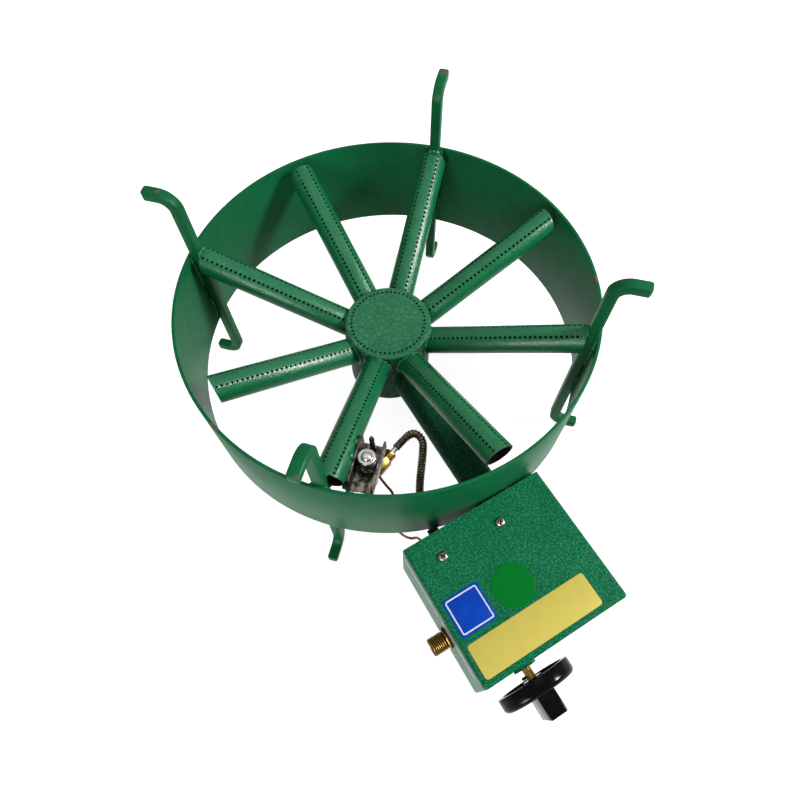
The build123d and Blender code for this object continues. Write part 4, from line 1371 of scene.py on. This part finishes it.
@dataclass
class BoxDetails:
    """Screws in the cover, blank strips on its side wall, and the threaded gas inlet.

    A ridge of the thread is a row of places along its pitch, with a share of the depth at each.
    """

    datum: Datum
    top_z: float = 114.1
    screw_xs: tuple[float, float] = (-75.0, -15.5)
    screw_y: float = -224.0
    screw_turns: tuple[float, float] = (24, 55)
    screw_sides: int = 40
    screw_edge: float = 0.12
    screw_profile: Profile = (
        (-8, 0.6), (-7.2, 2.0), (0, 2.0), (0, 4.1), (0.3, 4.3), (1.0, 4.25), (1.7, 3.9),
        (2.25, 3.1), (2.52, 2.0), (2.6, 0.8),
    )
    recess_long: float = 2.6
    recess_wide: float = 0.7
    recess_heights: tuple[float, float] = (0.9, 4.0)
    wall_x: float = -102.0
    wall_gap: float = 0.1
    inlet_y: float = -279.0
    inlet_z: float = 74.0
    across_flats: float = 19.0
    hexagon_sides: int = 6
    hexagon_edge: float = 0.35
    hexagon_tall: float = 3.0
    hexagon_hole: float = 6.0
    chamfer_rise: float = 0.4
    chamfer_depth: float = 0.6
    bore_r: float = 5.5
    thread_r: float = 8.33
    thread_depth: float = 1.0
    thread_pitch: float = 1.814
    thread_sides: int = 48
    ridge: Profile = ((0, 1), (0.34, 0.5), (0.68, 0.04), (0.9, 0), (1.06, 0.04), (1.4, 0.5), (1.74, 1))
    ridge_count: int = 7
    first_ridge: float = 4.0
    root_margin: float = 0.98
    inlet_start: Profile = ((1, 5.9), (2.9, 7.2), (3.9, 7.2))
    inlet_end: float = 17.4
    end_edge: float = 0.3
    end_flare: float = 0.1
    end_round: float = 0.25
    bore_floor: float = 4.5
    bore_chamfer: float = 0.4
    bore_middle: float = 0.5
    strips: tuple[tuple[float, ...], ...] = ((-262, 86, -206, 107), (-318, 88, -267, 108))
    strip_heights: tuple[float, float] = (0.03, 0.28)
    strip_edge: float = 0.1

    def screw(self) -> Piece:
        """One pan-head screw with a cross recess painted dark as shade, standing at the datum.

        Returns:
            The screw.
        """
        place = self.datum.level()
        head = Bench.turned("screw_model", self.screw_profile, self.screw_sides, place)
        head.data.materials.append(Finish.SCREW.shader)
        low, high = self.recess_heights
        for x, y in ((self.recess_long, self.recess_wide), (self.recess_wide, self.recess_long)):
            bar = Bench.block("recess", (-x, -y, low), (x, y, high), place)
            # The recess faces take painted shade.
            bar.data.materials.append(Finish.SOOT.shader)
            Bench.cut(head, bar, material_mode="TRANSFER")
        Bench.soften(head, self.screw_edge, angle=50)
        return head

    def inlet(self) -> Piece:
        """The inlet nipple: a hexagon at the wall and a threaded, bored end.

        Returns:
            The nipple.
        """
        place = self.datum.frame((self.wall_x - self.wall_gap, self.inlet_y, self.inlet_z), LEFT, BACK)
        corner = self.across_flats / math.sqrt(3)
        tall, rise, edge = self.hexagon_tall, self.chamfer_rise, corner - self.chamfer_depth
        flat = [(0, edge), (rise, corner), (tall - rise, corner), (tall, edge), (tall, self.hexagon_hole)]
        hexagon = Bench.turned("inlet_hexagon", flat, self.hexagon_sides, place)
        Bench.soften(hexagon, self.hexagon_edge, angle=30)
        root, bore = self.thread_r - self.thread_depth, self.bore_r
        profile = [*self.inlet_start]
        for turn in range(self.ridge_count):
            height = self.first_ridge + turn * self.thread_pitch
            for along, share in self.ridge:
                profile.append((height + along, self.thread_r - self.thread_depth * share))
        end, floor, lip = self.inlet_end, self.bore_floor, self.bore_chamfer
        profile += [(end - self.end_edge, root + self.end_flare), (end, root - self.end_round)]
        profile += [(end, bore + lip), (end - lip, bore), (floor, bore), (floor, self.bore_middle)]
        thread = Bench.turned("inlet_thread", profile, self.thread_sides, place)
        middle = self.thread_r - self.thread_depth / 2
        # The band round the thread roots takes a darker brass.
        Bench.band(thread, place, root * self.root_margin, middle, Finish.BRASS, Finish.TARNISH)
        for finish in (Finish.BRASS, Finish.TARNISH):
            hexagon.data.materials.append(finish.shader)
        return Bench.join([hexagon, thread], "threaded_inlet")

    def build(self) -> None:
        """Builds the screws, the inlet and the strips."""
        back = Matrix.Translation(-self.datum.axis)
        moves: list[Matrix] = []
        for x, turn in zip(self.screw_xs, self.screw_turns):
            shift = Matrix.Translation(self.datum.spot(x, self.screw_y, self.top_z))
            moves.append(shift @ Matrix.Rotation(math.radians(turn), 4, "Z") @ back)
        Bench.finish(Bench.copies(self.screw(), "cross_screws", moves), Finish.SCREW, "cover_screws")
        Bench.finish(self.inlet(), Finish.BRASS, "inlet_nipple", angle=45)
        side = self.datum.frame((self.wall_x, 0, 0), LEFT, BACK)
        under, over = self.strip_heights
        for order, (y0, z0, y1, z1) in enumerate(self.strips):
            strip = Bench.block(f"side_strip_{order + 1}", (y0, -z1, under), (y1, -z0, over), side)
            Bench.soften(strip, self.strip_edge)
            Bench.finish(strip, Finish.SILVER)


@dataclass
class ControlKnob:
    """The round knob with its bar grip, the splined spindle and its pin.

    The disc's rim is a row of heights, with how far in from the radius it is at each.
    """

    datum: Datum
    axis_x: float = -58.0
    axis_z: float = 74.0
    back_y: float = -342.0
    front_y: float = -329.5
    radius: float = 34.5
    disc_sides: int = 96
    disc_back: Profile = (
        (11, 0.5), (11, 4.06), (0.3, 4.06), (0, 4.4), (0, 8.6), (0.4, 9),
        (5.4, 9), (6, 9.8), (6, 28), (5.4, 28.8), (0.5, 29.1), (0, 29.5),
    )
    disc_rim: Profile = (
        (0, 0.7), (0.2, 0.2), (0.7, 0), (8.5, 0), (9.8, 0.2), (11, 0.8), (12.1, 1.8),
        (12.7, 3), (13, 4.5), (13, 12),
    )
    disc_middle: Corner = (13, 0.5)
    grip_root: float = 19.4
    grip_tip: float = 16.6
    grip_height: float = 38.0
    grip_narrowing: float = 0.985
    grip_start: float = 12.0
    grip_end: float = 33.0
    grip_edge: float = 1.9
    spindle_sides: int = 48
    spindle_profile: Profile = (
        (-27.9, 0.5), (-27.9, 3.8), (-27.6, 4.0), (-14, 4.0),
        (0, 4.0), (33.6, 4.0), (34, 3.6), (34, 0.5),
    )
    groove: tuple[Point, Point] = ((3.55, -0.24, 0.5), (5, 0.24, 30))
    groove_count: int = 14
    pin_edge: float = 0.3

    def line(self, y: float) -> Matrix:
        """The knob's frame: +Z out of the box, +X up."""
        return self.datum.frame((self.axis_x, y, self.axis_z), FRONT, UP)

    def disc(self) -> Piece:
        """The disc: hollow back with a hub, and a broad round front edge.

        Returns:
            The disc.
        """
        rim = [(height, self.radius - inset) for height, inset in self.disc_rim]
        profile = [*self.disc_back, *rim, self.disc_middle]
        return Bench.turned("knob_disc", profile, self.disc_sides, self.line(self.back_y))

    def grip(self) -> Piece:
        """The bar grip, drawn in toward its end and rounded.

        Returns:
            The grip.
        """
        half, tall = self.grip_root / 2, self.grip_height / 2
        low, high = (-tall, -half, self.grip_start), (tall, half, self.grip_end)
        grip = Bench.block("knob_grip", low, high, HERE)
        Bench.hold(grip)
        for vertex in grip.data.vertices:
            vertex.select = vertex.co.z > (self.grip_start + self.grip_end) / 2 * MM
        bpy.ops.object.mode_set(mode="EDIT")
        bpy.ops.mesh.select_mode(type="VERT")
        draw = (self.grip_narrowing, self.grip_tip / self.grip_root, 1)
        bpy.ops.transform.resize(value=draw, center_override=(0, 0, self.grip_end * MM))
        bpy.ops.object.mode_set(mode="OBJECT")
        Bench.soften(grip, self.grip_edge, segments=5)
        grip.data.transform(self.line(self.back_y))
        return grip

    def spindle(self) -> Piece:
        """The brass spindle, with grooves along the part that shows.

        Returns:
            The spindle.
        """
        place = self.line(self.front_y)
        spindle = Bench.turned("splined_spindle", self.spindle_profile, self.spindle_sides, place)
        first = Bench.block("groove", *self.groove, HERE)
        turns = [math.tau * step / self.groove_count for step in range(self.groove_count)]
        moves = [place @ Matrix.Rotation(turn, 4, "Z") for turn in turns]
        Bench.cut(spindle, Bench.copies(first, "grooves", moves))
        return spindle

    def build(self) -> None:
        """Builds the knob and its spindle, which ride on the knob's body."""
        knob = Bench.join([self.disc(), self.grip()], "bar_knob")
        Bench.finish(knob, Finish.KNOB, "knob", body=KNOB_BODY, angle=40)
        Bench.finish(self.spindle(), Finish.BRASS, "valve_spindle", body=KNOB_BODY, angle=40)
        pin = Bench.from_node("spindle_pin", "round_pin")
        Bench.soften(pin, self.pin_edge)
        Bench.finish(pin, Finish.BLACK_STEEL, "spindle_pin", body=KNOB_BODY)


@dataclass
class PilotSet:
    """The pilot's turned hood and probe, and the cut and pressed pieces with softened edges."""

    datum: Datum
    axis: Point = (-94.08, -129.37, 4.0)
    hood_sides: int = 48
    hood: Profile = (
        (143.3, 7.3), (143.2, 7.6), (143.2, 8.4), (143.5, 8.5), (157.8, 8.5), (159.6, 8.2),
        (160.7, 7.6), (161.3, 6.8), (161.35, 6.2), (161.0, 5.6), (160.8, 5.2), (161.0, 4.8),
        (162.0, 4.3), (162.9, 3.5), (163.5, 2.5), (163.85, 1.4), (163.95, 0.3),
    )
    probe: Point = (-82.77, -118.05, 4.0)
    tip_sides: int = 24
    tip: Profile = (
        (122, 1.6), (122.2, 2.2), (122.6, 2.4), (144, 2.4), (144.6, 2.4), (153, 2.4),
        (154, 2.1), (158, 2.05), (158.8, 2.3), (162, 2.3), (164.5, 1.8), (166.2, 1.2), (166.9, 0.3),
    )
    softened: tuple[tuple[str, float, Finish], ...] = (
        ("pilot_bracket", 0.5, Finish.DULL),
        ("pilot_strap", 0.5, Finish.DULL),
        ("pilot_bolt", 0.5, Finish.ZINC),
        ("pilot_bolt_nut", 0.5, Finish.ZINC),
        ("pilot_body", 0.5, Finish.BRASS),
        ("pilot_locknut", 0.5, Finish.BRASS),
        ("probe_nut", 0.4, Finish.ZINC),
        ("feed_fitting", 0.7, Finish.BRASS),
        ("feed_nut", 0.5, Finish.BRASS),
        ("panel_nut", 0.5, Finish.BOX),
        ("ring_bracket", 0.7, Finish.RING),
    )

    def build(self) -> None:
        """Builds the turned pieces and softens the pressed and cut ones."""
        hood = Bench.turned("pilot_cap", self.hood, self.hood_sides, self.datum.level(*self.axis))
        Bench.finish(hood, Finish.CHROME, "pilot_hood", angle=60)
        tip = Bench.turned("probe_tip", self.tip, self.tip_sides, self.datum.level(*self.probe))
        Bench.finish(tip, Finish.BLACK_STEEL, "thermocouple_probe", angle=60)
        for node, width, finish in self.softened:
            piece = Bench.from_node(node, f"soft_{node}")
            Bench.soften(piece, width)
            Bench.finish(piece, finish, node)


@dataclass
class Dressing:
    """Finishes of the CAD nodes that are shown as they are."""

    finishes: dict[Finish, tuple[str, ...]] = field(
        default_factory=lambda: {
            Finish.SOOTED: ("hub_drum", "hub_base"),
            Finish.PIPE: ("mixing_pipe",),
            Finish.BOX: ("box_cover", "box_base"),
            Finish.PLUG: ("tube_plugs",),
            Finish.ZINC: ("return_spring",),
            Finish.CHROME: ("thermocouple_nut",),
            Finish.BRASS: ("valve_body", "valve_plug", "injector", "union_nut", "outlet_pipe"),
            Finish.ALUMINIUM: ("feed_stub", "hose_tail", "magnet_unit"),
            Finish.RUBBER: ("hose_sleeve", "lead_grommet"),
        }
    )

    def build(self) -> None:
        """Gives every listed node its finish."""
        for finish, nodes in self.finishes.items():
            for node in nodes:
                mesh = bpy.data.objects[node].data
                mesh.materials.clear()
                mesh.materials.append(finish.shader)
                LOG.info("%s: %s", node, finish.value.name)


@dataclass
class Lamp:
    """A square area light that looks at the burner.

    Its way leads from the burner's middle to the lamp. Way and size are in metres and power is in
    watts. A lamp that doesn't light only shows as a highlight on gloss.
    """

    name: str
    way: Point
    size: float
    power: float
    lights: bool = True

    def build(self, middle: Vector) -> None:
        """Hangs the lamp.

        Args:
            middle: The burner's middle.
        """
        data = bpy.data.lights.new(self.name, "AREA")
        data.shape = "SQUARE"
        data.size = self.size
        data.energy = self.power
        light = Bench.link(self.name, data)
        light.visible_diffuse = self.lights
        aim = (-Vector(self.way)).to_track_quat("-Z", "Y").to_matrix().to_4x4()
        light.matrix_world = Matrix.Translation(middle + Vector(self.way)) @ aim


@dataclass
class Studio:
    """White floor, soft boxes and the camera at the photograph's view."""

    datum: Datum
    eye: Point = (-162.5, -311.7, 650.3)
    right: Point = (0.86349, -0.5041, -0.01654)
    up: Point = (0.45508, 0.76454, 0.45649)
    ahead: Point = (0.21747, 0.4017, -0.88957)
    lens: float = 27.82
    sensor: float = 36.0
    shift: tuple[float, float] = (0.00496, -0.00488)
    clip: tuple[float, float] = (0.01, 20.0)
    white: Colour = (1, 1, 1, 1)
    fill: float = 0.25
    floor_size: float = 12.0
    floor_z: float = -0.0005
    floor_patch: float = 0.4
    floor_tones: tuple[float, float] = (0.52, 0.56)
    floor_glow: float = 0.88
    middle: Point = (0, 0, 120)
    lamps: tuple[Lamp, ...] = (
        Lamp("key_box", (1.16, -0.75, 1.0), 0.3, 26),
        Lamp("key_shine", (1.18, -0.86, 0.88), 0.32, 84, lights=False),
        Lamp("left_box", (-1.33, -0.94, 0.5), 0.8, 11),
        Lamp("left_shine", (-1.2, -1.08, 0.54), 0.5, 34, lights=False),
        Lamp("top_box", (0.0, 0.2, 1.9), 1.0, 4),
    )

    def camera(self) -> None:
        """Puts the camera where the photograph was taken from."""
        data = bpy.data.cameras.new("camera")
        data.lens = self.lens
        data.sensor_width = self.sensor
        data.shift_x, data.shift_y = self.shift
        data.clip_start, data.clip_end = self.clip
        camera = Bench.link("camera", data)
        turn = Matrix((self.right, self.up, [-value for value in self.ahead])).transposed().to_4x4()
        camera.matrix_world = Matrix.Translation(self.datum.spot(*self.eye)) @ turn
        bpy.context.scene.camera = camera

    @staticmethod
    def shown(g: Graph) -> Wire:
        """Tells the rays that show the surroundings: to the camera, off gloss and through glass.

        Args:
            g: The graph that asks.

        Returns:
            1 for such a ray, and 0 for one that only carries light.
        """
        path = g.tree.nodes.new("ShaderNodeLightPath")
        names = ("Is Camera Ray", "Is Glossy Ray", "Is Transmission Ray")
        camera, glossy, through = (Wire(g, path.outputs[name]) for name in names)
        return g.maths("MAXIMUM", g.maths("MAXIMUM", camera, glossy), through)

    def world(self) -> None:
        """A dim surrounding that shows white."""
        g = Graph("surround", world=True)
        dim, white = (
            g.node("ShaderNodeBackground", None, {"Color": self.white, "Strength": strength})
            for strength in (self.fill, 1.0)
        )
        mixed = g.node("ShaderNodeMixShader", None, {0: self.shown(g), 1: dim, 2: white})
        bpy.context.scene.world = g.end(mixed)

    def floor(self) -> None:
        """A pale floor that shows white but keeps a faint shadow."""
        place = {"size": self.floor_size, "location": (0, 0, self.floor_z)}
        piece = Bench.begin(bpy.ops.mesh.primitive_plane_add, "floor", **place)
        g = Graph("floor_white")
        dark, pale = ((tone, tone, tone, 1) for tone in self.floor_tones)
        tone = g.mix(g.noise(g.place(), self.floor_patch), dark, pale)
        matt = g.node("ShaderNodeBsdfDiffuse", None, {"Color": tone})
        glow = {"Color": self.white, "Strength": self.floor_glow}
        lit = g.node("ShaderNodeAddShader", None, {0: matt, 1: g.node("ShaderNodeEmission", None, glow)})
        mixed = g.node("ShaderNodeMixShader", None, {0: self.shown(g), 1: matt, 2: lit})
        piece.data.materials.append(g.end(mixed))

    def build(self) -> None:
        """Sets the whole studio."""
        bpy.context.scene.view_settings.view_transform = "Standard"
        self.world()
        self.floor()
        self.camera()
        for lamp in self.lamps:
            lamp.build(self.datum.spot(*self.middle))


def main() -> None:
    """Builds every sub-assembly in order."""
    logging.basicConfig(level=logging.INFO, format="%(name)s: %(message)s")
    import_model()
    datum = Datum()
    Studio(datum).build()
    Hose(datum).build()
    TubeStar(datum).build()
    HubCap(datum).build()
    Structure().build()
    Welds(datum).build()
    Plates(datum).build()
    BoxDetails(datum).build()
    ControlKnob(datum).build()
    PilotSet(datum).build()
    Dressing().build()


if __name__ == "__main__":
    main()
